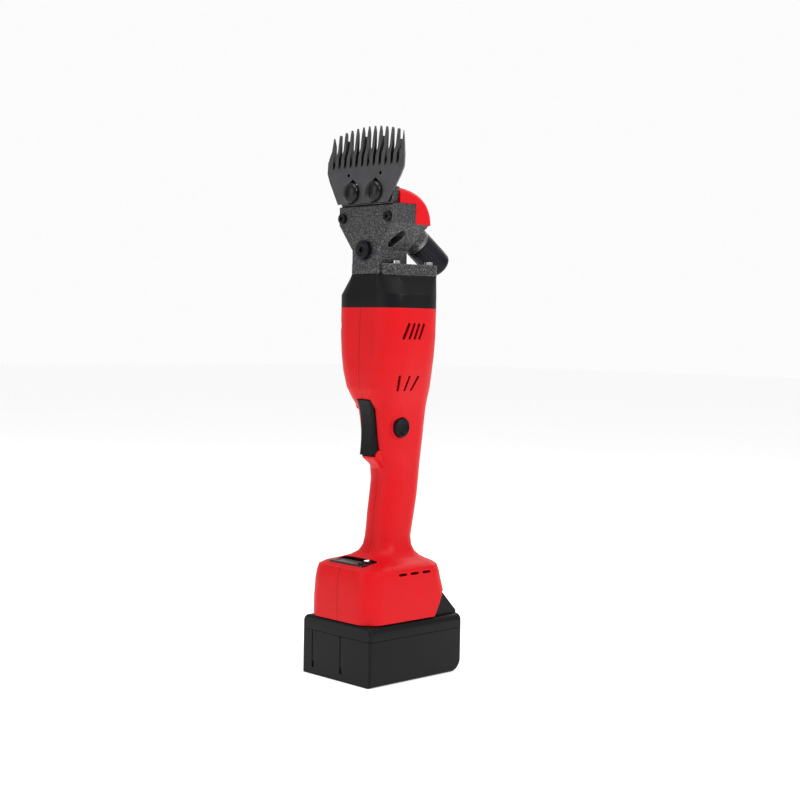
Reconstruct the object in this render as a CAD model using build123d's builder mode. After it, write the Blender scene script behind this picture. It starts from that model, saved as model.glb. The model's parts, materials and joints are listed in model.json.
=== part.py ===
from build123d import *
import os
from math import acos, cos, pi, radians, sin, sqrt, tan

# Cordless sheep shears: comb and cutter, gear head, motor housing, and a slide-on battery.
# Millimetres.  +Z runs up the tool from the flat base of the battery to the comb's tips, -Y is
# the trigger side, and X = 0 is the parting plane of the two housing halves.

os.makedirs("parts", exist_ok=True)

# ---------------------------------------------------------------- driving dimensions

MOVING_GAP = 0.3          # clearance between pieces that move past each other
RUNNING_GAP = 0.05        # radial clearance of a shaft in its hole

# battery: eight round cells lie across X, four along Y and two layers high
BATTERY_HALF_X = 35.3
BATTERY_HALF_Y = 44.8
BATTERY_SEAM = 31.7
BATTERY_TOP = 41.5
BATTERY_WALL = 1.6
BATTERY_FLOOR = 2.0
SEAM_GAP = 0.3
CELL_RADIUS = 9.15
CELL_LENGTH = 65.0
CELL_PITCH = 19.4
CELL_LAYERS = (11.3, 29.9)
RAIL_HALF_X = 24.0
RAIL_TOP = 52.0
RAIL_FRONT = -35.0
WEDGE_HALF_X = 30.0
WEDGE_FOOT = 19.4         # front foot of the latch wedge
WEDGE_APEX_Y = 28.2
WEDGE_APEX_Z = 58.2
WEDGE_TAIL_Y = 43.7
WEDGE_TAIL_Z = 43.2
TERMINAL_X = (-12.0, 0.0, 12.0)

# housing: height, half width, front, back and corner radius of each cross-section
HOUSING_WALL = 2.4
FOOT_BOTTOM = BATTERY_TOP + MOVING_GAP
HOUSING_TOP = 259.0
FOOT_SECTIONS = [
    (FOOT_BOTTOM, 33.3, -44.2, 36.8, 14.0),
    (56.0, 33.2, -44.1, 36.5, 14.0),
    (68.0, 32.4, -43.8, 33.2, 14.0),
    (74.0, 31.8, -43.0, 32.0, 14.0),
    (78.0, 30.8, -41.8, 30.5, 13.5),
    (80.0, 28.3, -37.9, 28.2, 13.0),
    (81.6, 23.6, -29.8, 25.5, 12.5),
    (83.4, 19.9, -21.6, 23.3, 12.0),
    (86.5, 16.9, -16.0, 20.9, 12.0),
    (91.0, 15.2, -13.4, 19.3, 12.0),
    (97.0, 14.4, -12.4, 19.0, 12.0),
]
HANDLE_SECTIONS = [
    (103.0, 14.3, -11.7, 20.2, 12.0),
    (115.0, 14.2, -10.6, 22.7, 12.0),
    (127.0, 14.2, -8.9, 24.8, 12.0),
    (138.0, 14.4, -7.4, 25.8, 12.0),
    (147.0, 14.8, -8.0, 26.2, 12.0),
    (156.0, 16.0, -13.4, 26.7, 13.0),
    (168.0, 17.0, -15.2, 27.6, 13.5),
    (180.0, 18.2, -16.6, 28.4, 14.5),
    (188.0, 19.3, -17.8, 29.0, 15.5),
]
BODY_SECTIONS = [
    (195.0, 21.5, -22.5, 28.9, 16.5),
    (203.0, 24.6, -26.0, 29.0, 18.0),
    (214.0, 28.3, -27.2, 28.3, 20.0),
    (226.0, 30.7, -27.0, 27.7, 20.0),
    (240.0, 32.0, -26.8, 27.6, 20.0),
    (HOUSING_TOP, 32.4, -26.4, 27.5, 20.0),
]
HOUSING_SECTIONS = FOOT_SECTIONS + HANDLE_SECTIONS + BODY_SECTIONS
HOUSING_SCREWS = [            # Y and Z of each screw, driven in from -X
    (-22.0, 246.0), (22.7, 246.0), (19.0, 194.5), (17.0, 150.0),
    (3.0, 104.0), (-36.5, 62.0), (24.0, 71.0),
]
SCREW_BOSS_R = 4.0
SCREW_DEPTH = 9.0             # the screw reaches this far each side of the parting plane
CHANNEL_HALF_X = RAIL_HALF_X + 0.4
CHANNEL_TOP = RAIL_TOP + 0.4
CHANNEL_FRONT = RAIL_FRONT - 0.6
FOOT_FLOOR = CHANNEL_TOP + 2.4
RAIL_GROOVE = (44.2, 47.8)
OVERHANG_Z = WEDGE_APEX_Z + 0.4

# trigger, lock button and display
TRIGGER_HALF_X = 6.8
TRIGGER_BOTTOM = 155.7
TRIGGER_TOP = 194.4
TRIGGER_REAR = -9.0       # back of the hub; below the hub the lever is thinner
HUB_BOTTOM = 184.0
LEVER_REAR = -12.5
TRIGGER_PIVOT = (-13.5, 190.5)
LOCK_Y = -2.0
LOCK_Z = 175.6
LOCK_RADIUS = 6.8
PANEL_HALF_X = 18.0
PANEL_FRONT = -36.5
PANEL_BACK = -22.0
PANEL_Z = 81.4

# motor and gear train
MOTOR_Y = 0.6
MOTOR_RADIUS = 18.0
MOTOR_BOTTOM = 203.0
MOTOR_TOP = 252.5
MOTOR_SHAFT_R = 1.6
GEAR_MODULE = 0.6
PINION_TEETH = 10
GEAR_TEETH = 30
PRESSURE_ANGLE = 20.0
GEAR_BACKLASH = 0.12
CRANK_Y = MOTOR_Y - GEAR_MODULE * (PINION_TEETH + GEAR_TEETH) / 2
CRANK_THROW = 1.7
CRANK_SHAFT_R = 3.0
BEARING_R = 6.5
BEARING_HEIGHT = 5.0
BEARING_Z = (263.6, 271.6)
CRANK_PIN_R = 1.0
ROLLER_RADIUS = 2.5
PRONG_X = 7.5             # the prongs stand clear of the roller at every angle of crank and fork
ROLLER_Z = (280.2, 286.2)
MOTOR_PLATE_TOP = MOTOR_TOP + 2.8

# collar and gear head
COLLAR_SHOULDER = 268.0
COLLAR_TOP = 282.0
COLLAR_WALL = 2.2
FLANGE_TOP = 289.6
FLANGE_OUTLINE = [(13.8, -22.8), (22.3, -14.3), (25.2, 22.0), (22.0, 26.2)]
FLANGE_SCREWS = [(-17.5, -9.5), (17.5, -9.5), (-19.2, 20.4), (19.2, 20.4)]
HEAD_FRONT = -20.4        # the casting's front, behind the front plate
CHAMBER_FLOOR = COLLAR_TOP - 0.9   # the fork's prongs swing just above it
PLATE_THICKNESS = 2.6
NECK_HALF_X = 13.6
NECK_BACK = 4.4
NECK_TOP = 299.0
BLOCK_HALF_X = 27.6
BLOCK_BOTTOM = 317.0
BLOCK_TOP = 330.6
BLOCK_STEP_Y = -1.3       # the guard starts here
GUARD_WALL = 2.5

# tension screw: its line runs back and down in the plane X = 0
TENSION_ANGLE = 35.0
TENSION_END = (24.9, 308.3)
BOSS_RADIUS = 10.4
KNOB_RADIUS = 10.4
KNOB_LENGTH = 31.0
TENSION_PIN_R = 2.5

# comb and cutter: V is measured up the comb from V = 0 at the height COMB_Z on its skin face
COMB_TILT = 4.0
COMB_Y = -25.0
COMB_Z = 350.0
COMB_TEETH = 13
TOOTH_PITCH = 5.92
COMB_THICKNESS = 3.6
COMB_HEEL_V = -18.9
COMB_ROOT_V = 5.5
COMB_TIP_V = 34.9
COMB_SCREW_U = 11.65
COMB_SCREW_V = -11.4
COMB_SCREW_HEAD_R = 7.5
COMB_SCREW_DOME = 4.6
CUTTER_THICKNESS = 3.0
CUTTER_GAP = 0.15
PIVOT_V = -51.0
FORK_REST_ANGLE = 2.6     # the cutter stands this far off centre towards +X
POST_RADIUS = 4.0

comb_plane = Plane(
    origin=(0, COMB_Y, COMB_Z),
    x_dir=(1, 0, 0),
    z_dir=(0, -cos(radians(COMB_TILT)), sin(radians(COMB_TILT))),
)
pivot_plane = Plane(
    origin=comb_plane.from_local_coords(Vector(0, PIVOT_V, 0)),
    x_dir=(1, 0, 0),
    z_dir=comb_plane.z_dir,
)
fork_plane = Plane(
    origin=pivot_plane.origin,
    x_dir=pivot_plane.x_dir * cos(radians(FORK_REST_ANGLE))
    - pivot_plane.y_dir * sin(radians(FORK_REST_ANGLE)),
    z_dir=pivot_plane.z_dir,
)
tension_plane = Plane(
    origin=(0, *TENSION_END),
    x_dir=(1, 0, 0),
    z_dir=(0, cos(radians(TENSION_ANGLE)), -sin(radians(TENSION_ANGLE))),
)


# ---------------------------------------------------------------- shared shapes

def save(piece, name):
    """Label a finished sub-part and write its STEP file."""
    piece.part.label = name
    export_step(piece.part, f"parts/{name}.step")


def body_outline(z, half_x, front, back, corner, inset=0.0):
    """Rounded-rectangle cross-section of the housing at height z, pulled in by inset."""
    with BuildSketch(Plane.XY.offset(z)) as outline:
        with Locations((0, (front + back) / 2)):
            RectangleRounded(2 * (half_x - inset), back - front - 2 * inset, corner - inset)
    return outline.sketch


def section_at(z):
    """Cross-section between two rows of the housing table, in proportion to the height."""
    for low, high in zip(HOUSING_SECTIONS, HOUSING_SECTIONS[1:]):
        if low[0] <= z <= high[0]:
            share = (z - low[0]) / (high[0] - low[0])
            return [a + share * (b - a) for a, b in zip(low, high)]
    return HOUSING_SECTIONS[-1]


def half_width_at(y, z):
    """Half width of the housing at height z, measured at the given Y."""
    _, half_x, front, back, corner = section_at(z)
    beyond = max(front + corner - y, y - back + corner, 0.0)
    return half_x - corner + sqrt(corner**2 - beyond**2)


def screw_span(y, z):
    """Reach of a screw boss to each side, and the X of the screw's seat and tip."""
    rim = [(y + a, z + b) for a in (-SCREW_BOSS_R, SCREW_BOSS_R) for b in (-SCREW_BOSS_R, SCREW_BOSS_R)]
    reach = min(half_width_at(*spot) for spot in rim) - HOUSING_WALL / 2
    return reach, -min(reach - 5.0, SCREW_DEPTH), min(reach - 2.5, SCREW_DEPTH)


def flange_outline(z, inset=0.0):
    """Eight-sided plan of the gear head's flange at height z."""
    right = FLANGE_OUTLINE
    left = [(-x, y) for x, y in reversed(right)]
    with BuildSketch(Plane.XY.offset(z)) as outline:
        Polygon(*right, *left, align=None)
        if inset:
            offset(amount=-inset, kind=Kind.INTERSECTION)
    return outline.sketch


def side_profile(points):
    """Closed outline in the plane X = 0, from (Y, Z) points."""
    with BuildSketch(Plane.YZ) as profile:
        Polygon(*points, align=None)
    return profile.sketch


def gear_outline(teeth, first_tooth, plane):
    """Spur gear with involute flanks; first_tooth is the angle of one tooth's middle."""
    pitch_r = teeth * GEAR_MODULE / 2
    base_r = pitch_r * cos(radians(PRESSURE_ANGLE))
    tip_r = pitch_r + 0.8 * GEAR_MODULE
    root_r = pitch_r - 1.15 * GEAR_MODULE
    start_r = max(root_r, base_r)
    half_tooth = (pi * GEAR_MODULE / 2 - GEAR_BACKLASH) / (2 * pitch_r)
    involute = tan(radians(PRESSURE_ANGLE)) - radians(PRESSURE_ANGLE)

    def flank_angle(radius):
        roll = acos(min(1.0, base_r / radius))
        return half_tooth + involute - (tan(roll) - roll)

    def at(radius, angle):
        return (radius * cos(angle), radius * sin(angle))

    steps = [start_r + (tip_r - start_r) * k / 3 for k in range(4)]
    corners = []
    for tooth in range(teeth):
        middle = radians(first_tooth) + tooth * 2 * pi / teeth
        rise = [at(r, middle - flank_angle(r)) for r in steps]
        fall = [at(r, middle + flank_angle(r)) for r in reversed(steps)]
        foot = flank_angle(start_r)
        corners += [at(root_r, middle - foot), *rise, *fall, at(root_r, middle + foot)]
    with BuildSketch(plane) as outline:
        Polygon(*corners, align=None)
    return outline.sketch


def cylinder_on(plane, radius, start, end):
    """Round bar along a plane's normal, from start to end."""
    with BuildPart() as bar:
        with BuildSketch(plane.offset(start)):
            Circle(radius)
        extrude(amount=end - start)
    return bar.part


def tube_on(plane, outer, inner, start, end):
    """Round tube along a plane's normal, from start to end."""
    with BuildPart() as tube:
        with BuildSketch(plane.offset(start)):
            Circle(outer)
            Circle(inner, mode=Mode.SUBTRACT)
        extrude(amount=end - start)
    return tube.part


def coil_on(plane, radius, wire, start, end, turns):
    """Open coil spring along a plane's normal."""
    height = end - start - 2 * wire
    with BuildPart() as coil:
        with BuildLine() as path:
            Helix(pitch=height / turns, height=height, radius=radius)
        with BuildSketch(Plane(origin=path.line @ 0, z_dir=path.line % 0)):
            Circle(wire)
        sweep()
    return coil.part.moved(plane.offset(start + wire).location)


def upright(x, y):
    """Plane through (x, y) whose normal is the tool's long axis."""
    return Plane(origin=(x, y, 0), x_dir=(1, 0, 0), z_dir=(0, 0, 1))


def crosswise(y, z):
    """Plane through (y, z) whose normal is +X."""
    return Plane(origin=(0, y, z), x_dir=(0, 1, 0), z_dir=(1, 0, 0))


# ---------------------------------------------------------------- battery

shell_inner_x = BATTERY_HALF_X - BATTERY_WALL
shell_inner_y = BATTERY_HALF_Y - 2.0
battery_bosses = [(x, y) for x in (-28.0, 28.0) for y in (-41.1, 41.1)]

with BuildPart() as battery_lower_shell:
    with BuildSketch(Plane.YZ) as side:
        with Locations((0, (BATTERY_SEAM - SEAM_GAP) / 2)):
            Rectangle(2 * BATTERY_HALF_Y, BATTERY_SEAM - SEAM_GAP)
        fillet(side.vertices().group_by(Axis.X)[-1].sort_by(Axis.Y)[0], radius=9.0)
    extrude(amount=BATTERY_HALF_X, both=True)
    fillet(battery_lower_shell.edges().filter_by(Axis.Z), radius=2.0)
    with BuildSketch(Plane.YZ) as hollow:
        with Locations((0, BATTERY_FLOOR + BATTERY_SEAM / 2)):
            Rectangle(2 * shell_inner_y, BATTERY_SEAM)
        fillet(hollow.vertices().group_by(Axis.X)[-1].sort_by(Axis.Y)[0], radius=7.6)
    extrude(amount=shell_inner_x, both=True, mode=Mode.SUBTRACT)
    for groove_x in (-24.4, 5.0):
        with Locations((groove_x, -BATTERY_HALF_Y, BATTERY_SEAM / 2 + 4.5)):
            Box(1.2, 1.0, BATTERY_SEAM - 4.0, mode=Mode.SUBTRACT)
        with Locations((groove_x + 0.8, -BATTERY_HALF_Y, 7.4)):
            Box(2.8, 1.8, 4.2, mode=Mode.SUBTRACT)
    for boss in battery_bosses:
        add(cylinder_on(upright(*boss), 1.8, 1.9, BATTERY_SEAM - SEAM_GAP))
        add(cylinder_on(upright(*boss), 1.3, -1.0, 40.0), mode=Mode.SUBTRACT)
        add(cylinder_on(upright(*boss), 1.75, -1.0, 3.6), mode=Mode.SUBTRACT)
save(battery_lower_shell, "battery_lower_shell")

with BuildPart() as battery_upper_shell:
    with BuildSketch(Plane.XZ) as front:
        with Locations((0, (BATTERY_SEAM + BATTERY_TOP) / 2)):
            Rectangle(2 * BATTERY_HALF_X, BATTERY_TOP - BATTERY_SEAM)
        fillet(front.vertices().group_by(Axis.Y)[-1], radius=5.0)
    extrude(amount=BATTERY_HALF_Y, both=True)
    fillet(battery_upper_shell.edges().filter_by(Axis.Z), radius=2.0)
    extrude(
        side_profile([
            (WEDGE_FOOT, BATTERY_TOP - 1), (WEDGE_FOOT, BATTERY_TOP),
            (WEDGE_APEX_Y, WEDGE_APEX_Z), (WEDGE_APEX_Y + 0.8, WEDGE_APEX_Z),
            (WEDGE_TAIL_Y, WEDGE_TAIL_Z), (WEDGE_TAIL_Y, BATTERY_TOP - 1),
        ]),
        amount=WEDGE_HALF_X, both=True,
    )
    with Locations((0, (RAIL_FRONT + WEDGE_FOOT + 2) / 2, (RAIL_TOP + BATTERY_TOP - 1) / 2)):
        Box(2 * RAIL_HALF_X, WEDGE_FOOT + 2 - RAIL_FRONT, RAIL_TOP - BATTERY_TOP + 1)
    for side_x in (-1, 1):
        with Locations((side_x * RAIL_HALF_X, -10.0, (RAIL_GROOVE[0] + RAIL_GROOVE[1]) / 2)):
            Box(6.4, 56.0, RAIL_GROOVE[1] - RAIL_GROOVE[0], mode=Mode.SUBTRACT)
    with Locations((0, 0, (BATTERY_SEAM - 2 + 39.3) / 2)):
        Box(2 * shell_inner_x, 2 * shell_inner_y, 39.3 - BATTERY_SEAM + 2, mode=Mode.SUBTRACT)
    with Locations((0, -7.0, 44.0)):
        Box(38.0, 48.0, 11.6, mode=Mode.SUBTRACT)
    for slot_x in TERMINAL_X:
        with Locations((slot_x, -25.0, 49.5)):
            Box(2.0, 22.0, 8.0, mode=Mode.SUBTRACT)
    with Locations((0, 28.9, 50.0)):
        Box(12.6, 1.6, 17.0, mode=Mode.SUBTRACT)
    with Locations((0, 34.1, 50.0)):
        Box(19.6, 9.4, 17.0, mode=Mode.SUBTRACT)
    for boss in battery_bosses:
        add(cylinder_on(upright(*boss), 1.8, BATTERY_SEAM, 39.8))
        add(cylinder_on(upright(*boss), 1.2, BATTERY_SEAM - 1, 38.0), mode=Mode.SUBTRACT)
save(battery_upper_shell, "battery_upper_shell")

with BuildPart() as battery_screws:
    for boss in battery_bosses:
        add(cylinder_on(upright(*boss), 1.15, 3.6, 37.0))
        add(tube_on(upright(*boss), 1.7, 0.7, 2.6, 3.6))
        add(cylinder_on(upright(*boss), 0.75, 3.2, 3.8))
save(battery_screws, "battery_screws")

with BuildPart() as battery_cells:
    for layer in CELL_LAYERS:
        for row in range(4):
            cell = crosswise((row - 1.5) * CELL_PITCH, layer)
            add(cylinder_on(cell, CELL_RADIUS, -CELL_LENGTH / 2, CELL_LENGTH / 2))
save(battery_cells, "battery_cells")

with BuildPart() as battery_board:
    with Locations((0, -8.0, 43.4)):
        Box(34.0, 40.0, 1.6)
save(battery_board, "battery_board")

with BuildPart() as battery_terminals:
    for slot_x in TERMINAL_X:
        for leaf in (-1.25, 1.25):
            with Locations((slot_x + leaf, -23.5, 47.0)):
                Box(0.6, 10.0, 5.2)
        with Locations((slot_x, -20.5, 44.55)):
            Box(3.1, 4.0, 0.7)
save(battery_terminals, "battery_terminals")

with BuildPart() as battery_release_button:
    extrude(
        side_profile([(30.2, 46.0), (30.2, 56.6), (38.5, 47.6), (38.5, 46.0)]),
        amount=9.4, both=True,
    )
    for rib in range(4):
        with Locations((0, 31.9 + 1.7 * rib, 55.1 - 1.85 * rib)):
            Box(14.0, 0.7, 0.9)
    extrude(
        side_profile([(28.4, 46.0), (28.4, 60.6), (29.8, 60.6), (31.2, 58.4), (31.2, 46.0)]),
        amount=6.0, both=True,
    )
save(battery_release_button, "battery_release_button")

with BuildPart() as latch_spring:
    add(coil_on(upright(0, 34.2), 2.2, 0.3, BATTERY_TOP + 0.05, 45.95, 4))
save(latch_spring, "latch_spring")

# ---------------------------------------------------------------- housing halves

slant = (WEDGE_APEX_Y - WEDGE_FOOT) / (WEDGE_APEX_Z - BATTERY_TOP)
SLANT_GAP = 0.5           # level gap between the foot's slanted wall and the wedge


def slant_y(z, forward):
    """Y of a line parallel to the wedge's front slope, moved forward by the given amount."""
    return WEDGE_FOOT - forward + (z - BATTERY_TOP) * slant


with BuildPart() as housing:
    loft(sections=[body_outline(*row) for row in HOUSING_SECTIONS], ruled=True)
    # the chin that closes the grip below the trigger
    loft(sections=[
        body_outline(145.0, 5.6, -7.6, 0.0, 2.5),
        body_outline(149.5, 7.4, -12.0, 0.0, 4.0),
        body_outline(153.4, 8.4, -16.9, 0.0, 4.5),
        body_outline(156.4, 9.0, -17.6, 0.0, 4.5),
        body_outline(159.0, 9.0, -15.4, 0.0, 4.5),
    ], ruled=True)
    with BuildPart(mode=Mode.PRIVATE) as cavity:
        loft(
            sections=[body_outline(*row, inset=HOUSING_WALL) for row in HOUSING_SECTIONS],
            ruled=True,
        )
        extrude(
            side_profile([
                (-60, 30), (-60, FOOT_FLOOR), (slant_y(FOOT_FLOOR, 3.2), FOOT_FLOOR),
                (slant_y(OVERHANG_Z + 2.6, 3.2), OVERHANG_Z + 2.6), (60, OVERHANG_Z + 2.6), (60, 30),
            ]),
            amount=50, both=True, mode=Mode.SUBTRACT,
        )
    add(cavity.part, mode=Mode.SUBTRACT)
    # the slanted rear underside above the battery's wedge
    extrude(
        side_profile([
            (slant_y(30, SLANT_GAP), 30), (slant_y(OVERHANG_Z, SLANT_GAP), OVERHANG_Z),
            (60, OVERHANG_Z), (60, 30),
        ]),
        amount=50, both=True, mode=Mode.SUBTRACT,
    )
    # battery channel, its two guide rails and the openings for terminals and latch
    with Locations((0, (CHANNEL_FRONT + 60) / 2, (30 + CHANNEL_TOP) / 2)):
        Box(2 * CHANNEL_HALF_X, 60 - CHANNEL_FRONT, CHANNEL_TOP - 30, mode=Mode.SUBTRACT)
    for side_x in (-1, 1):
        with Locations((side_x * (CHANNEL_HALF_X - 1.4), -10.0, sum(RAIL_GROOVE) / 2)):
            Box(3.2, 54.0, RAIL_GROOVE[1] - RAIL_GROOVE[0] - 0.7)
    with Locations((0, -23.5, FOOT_FLOOR)):
        Box(32.0, 18.0, 8.0, mode=Mode.SUBTRACT)
    with Locations((0, (27.9 + 60) / 2, OVERHANG_Z + 1.0)):
        Box(12.8, 60 - 27.9, 3.4, mode=Mode.SUBTRACT)
    # ribs that cradle the motor
    for rib_z in (207.0, 240.0):
        with BuildPart(mode=Mode.PRIVATE) as rib:
            extrude(body_outline(*section_at(rib_z), inset=HOUSING_WALL / 2), amount=2.0)
            add(cylinder_on(upright(0, MOTOR_Y), MOTOR_RADIUS + RUNNING_GAP, 200, 260), mode=Mode.SUBTRACT)
            for notch_x in (-23.0, 23.0):
                with Locations((notch_x, 0, rib_z)):
                    Box(14.0, 12.0, 8.0, mode=Mode.SUBTRACT)
        add(rib.part)
    # trigger slot and the bosses of its pivot pin
    slot_top = TRIGGER_TOP + 0.4
    slot_bottom = TRIGGER_BOTTOM - 0.9
    with Locations((0, -24.0, (slot_top + slot_bottom) / 2)):
        Box(2 * (TRIGGER_HALF_X + MOVING_GAP), 36.0, slot_top - slot_bottom, mode=Mode.SUBTRACT)
    for start, end in ((-13.5, -7.4), (7.4, 13.5)):
        add(cylinder_on(crosswise(*TRIGGER_PIVOT), 3.4, start, end))
        add(cylinder_on(crosswise(*TRIGGER_PIVOT), 1.55, start, end), mode=Mode.SUBTRACT)
    # shelves above and below the trigger switch
    for shelf_z, shelf_x in ((158.9, 15.0), (185.1, 17.6)):
        with Locations((0, 5.5, shelf_z)):
            Box(2 * shelf_x, 13.0, 2.0)
    # display pocket in the front shelf of the foot
    with Locations((0, (PANEL_FRONT + PANEL_BACK) / 2, PANEL_Z + 3.4)):
        Box(2 * PANEL_HALF_X + 0.2, PANEL_BACK - PANEL_FRONT + 0.2, 10.0, mode=Mode.SUBTRACT)
    with Locations((0, (PANEL_FRONT + PANEL_BACK) / 2, PANEL_Z - 4.0)):
        Box(2 * PANEL_HALF_X - 3.0, PANEL_BACK - PANEL_FRONT - 3.0, 10.0, mode=Mode.SUBTRACT)
    # vents, alike on both sides
    for slot in range(4):
        with BuildSketch(crosswise(-11.6 + 4.6 * slot, 243.0)):
            with Locations(Rotation(0, 0, 68)):
                SlotOverall(12.4, 2.1)
        extrude(amount=50, both=True, mode=Mode.SUBTRACT)
    for slot, lean in enumerate((96, 80, 68)):
        with BuildSketch(crosswise(-12.4 + 7.3 * slot, 206.8)):
            with Locations(Rotation(0, 0, lean)):
                SlotOverall(11.4, 1.9)
        extrude(amount=50, both=True, mode=Mode.SUBTRACT)
    for slot in range(3):
        with BuildSketch(crosswise(-11.3 + 11.4 * slot, 74.2)):
            SlotOverall(7.8, 1.7)
        extrude(amount=50, both=True, mode=Mode.SUBTRACT)
    # opening and guide tube of the lock button, on the +X side only
    with BuildPart(mode=Mode.PRIVATE) as button_guide:
        add(tube_on(crosswise(LOCK_Y, LOCK_Z), LOCK_RADIUS + 2.0, LOCK_RADIUS + 0.3, 9.0, 17.0))
    add(button_guide.part)
    add(cylinder_on(crosswise(LOCK_Y, LOCK_Z), LOCK_RADIUS + MOVING_GAP, 9.0, 40.0), mode=Mode.SUBTRACT)
    # screw bosses
    for boss_y, boss_z in HOUSING_SCREWS:
        boss_line = crosswise(boss_y, boss_z)
        reach, seat, tip = screw_span(boss_y, boss_z)
        add(cylinder_on(boss_line, SCREW_BOSS_R, -reach, reach))
        add(cylinder_on(boss_line, 1.55, seat - 1.0, tip + 0.5), mode=Mode.SUBTRACT)
        add(cylinder_on(boss_line, 2.9, -40.0, seat), mode=Mode.SUBTRACT)

with BuildPart() as housing_right:
    add(housing.part)
    split(bisect_by=Plane.YZ, keep=Keep.TOP)
save(housing_right, "housing_right")

with BuildPart() as housing_left:
    add(housing.part)
    split(bisect_by=Plane.YZ.offset(-0.02), keep=Keep.BOTTOM)
save(housing_left, "housing_left")

with BuildPart() as housing_screws:
    for boss_y, boss_z in HOUSING_SCREWS:
        reach, seat, tip = screw_span(boss_y, boss_z)
        add(cylinder_on(crosswise(boss_y, boss_z), 1.5, seat, tip))
        add(cylinder_on(crosswise(boss_y, boss_z), 2.7, seat - 2.0, seat))
        for turn in (0, 90):
            with Locations(Location((seat - 2.0, boss_y, boss_z), (turn, 0, 0))):
                Box(1.6, 3.0, 0.7, mode=Mode.SUBTRACT)
save(housing_screws, "housing_screws")

# ---------------------------------------------------------------- controls and electrics

with BuildPart() as trigger:
    with BuildSketch(Plane.YZ):
        with BuildLine():
            Spline((-19.6, TRIGGER_BOTTOM), (-18.7, 164), (-18.7, 175), (-20.0, 186), (-23.2, TRIGGER_TOP))
            Polyline(
                (-23.2, TRIGGER_TOP), (TRIGGER_REAR, TRIGGER_TOP), (TRIGGER_REAR, HUB_BOTTOM),
                (LEVER_REAR, HUB_BOTTOM), (LEVER_REAR, TRIGGER_BOTTOM), (-19.6, TRIGGER_BOTTOM),
            )
        make_face()
    extrude(amount=TRIGGER_HALF_X, both=True)
    fillet(trigger.edges().filter_by(GeomType.BSPLINE), radius=1.6)
    extrude(
        side_profile([
            (-17.3, TRIGGER_BOTTOM + 1.8), (-16.7, 166), (-16.9, 176), (-17.6, HUB_BOTTOM - 1),
            (LEVER_REAR + 1, HUB_BOTTOM - 1), (LEVER_REAR + 1, TRIGGER_BOTTOM + 1.8),
        ]),
        amount=TRIGGER_HALF_X - 1.6, both=True, mode=Mode.SUBTRACT,
    )
    with Locations((0, TRIGGER_REAR, 189.5)):
        Box(7.0, 16.0, 9.8, mode=Mode.SUBTRACT)
    add(cylinder_on(crosswise(*TRIGGER_PIVOT), 1.55, -10, 10), mode=Mode.SUBTRACT)
save(trigger, "trigger")

with BuildPart() as trigger_pivot_pin:
    add(cylinder_on(crosswise(*TRIGGER_PIVOT), 1.5, -13.3, 13.3))
save(trigger_pivot_pin, "trigger_pivot_pin")

with BuildPart() as trigger_spring:
    add(coil_on(crosswise(*TRIGGER_PIVOT), 2.3, 0.35, -2.9, 2.9, 5))
save(trigger_spring, "trigger_spring")

SWITCH_X = (-8.0, 3.0)
with BuildPart() as trigger_switch:
    with Locations(((SWITCH_X[0] + SWITCH_X[1]) / 2, 4.5, 172.0)):
        Box(SWITCH_X[1] - SWITCH_X[0], 15.0, 24.0)
    with BuildSketch(Plane.XZ.offset(3.0)):
        with Locations((-1.5, 165.0)):
            Circle(1.9)
    extrude(amount=9.6)
    for lug_z in (166.0, 172.0, 178.0):
        with Locations((-2.5, 14.0, lug_z)):
            Box(0.8, 4.0, 3.0)
save(trigger_switch, "trigger_switch")

with BuildPart() as lock_button:
    add(cylinder_on(crosswise(LOCK_Y, LOCK_Z), LOCK_RADIUS, 8.8, 19.6))
    fillet(lock_button.edges().sort_by(Axis.X)[-1], radius=1.0)
    add(cylinder_on(crosswise(LOCK_Y, LOCK_Z), LOCK_RADIUS + 0.6, 7.6, 8.8))
save(lock_button, "lock_button")

with BuildPart() as control_board:
    with Locations((0, (PANEL_FRONT + PANEL_BACK) / 2, 74.8)):
        Box(31.0, 12.4, 1.6)
    with Locations((-4.5, (PANEL_FRONT + PANEL_BACK) / 2, 77.4)):
        Box(18.0, 9.0, 3.6)
save(control_board, "control_board")

panel_middle = (PANEL_FRONT + PANEL_BACK) / 2
SPEED_BUTTONS = [(11.6, panel_middle - 3.4), (11.6, panel_middle + 3.4)]
with BuildPart() as display_bezel:
    with BuildSketch(Plane.XY.offset(PANEL_Z - 1.5)):
        with Locations((0, panel_middle)):
            RectangleRounded(2 * PANEL_HALF_X, PANEL_BACK - PANEL_FRONT, 1.5)
        with Locations((-4.5, panel_middle)):
            Rectangle(19.0, 9.6, mode=Mode.SUBTRACT)
        with Locations(*SPEED_BUTTONS):
            Circle(2.4, mode=Mode.SUBTRACT)
    extrude(amount=1.5)
    with Locations(*[(x, panel_middle, PANEL_Z - 3.6) for x in (-15.2, 15.2)]):
        Box(1.4, 8.0, 4.4)
save(display_bezel, "display_bezel")

with BuildPart() as display_window:
    with Locations((-4.5, panel_middle, PANEL_Z - 0.8)):
        Box(18.9, 9.5, 1.2)
save(display_window, "display_window")

for index, (button_x, button_y) in enumerate(SPEED_BUTTONS, start=1):
    with BuildPart() as speed_button:
        add(cylinder_on(upright(button_x, button_y), 2.1, 77.2, PANEL_Z + 0.7))
        add(cylinder_on(upright(button_x, button_y), 2.6, 78.2, 79.5))
    save(speed_button, f"speed_button_{index}")

with BuildPart() as terminal_block:
    with Locations((0, -23.5, FOOT_FLOOR + 3.1)):
        Box(35.0, 16.6, 6.0)
    with Locations((0, -23.5, FOOT_FLOOR - 0.6)):
        Box(31.6, 16.6, 3.4)
    for slot_x in TERMINAL_X:
        with Locations((slot_x, -23.5, FOOT_FLOOR)):
            Box(0.8, 12.0, 30.0, mode=Mode.SUBTRACT)
save(terminal_block, "terminal_block")

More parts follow.
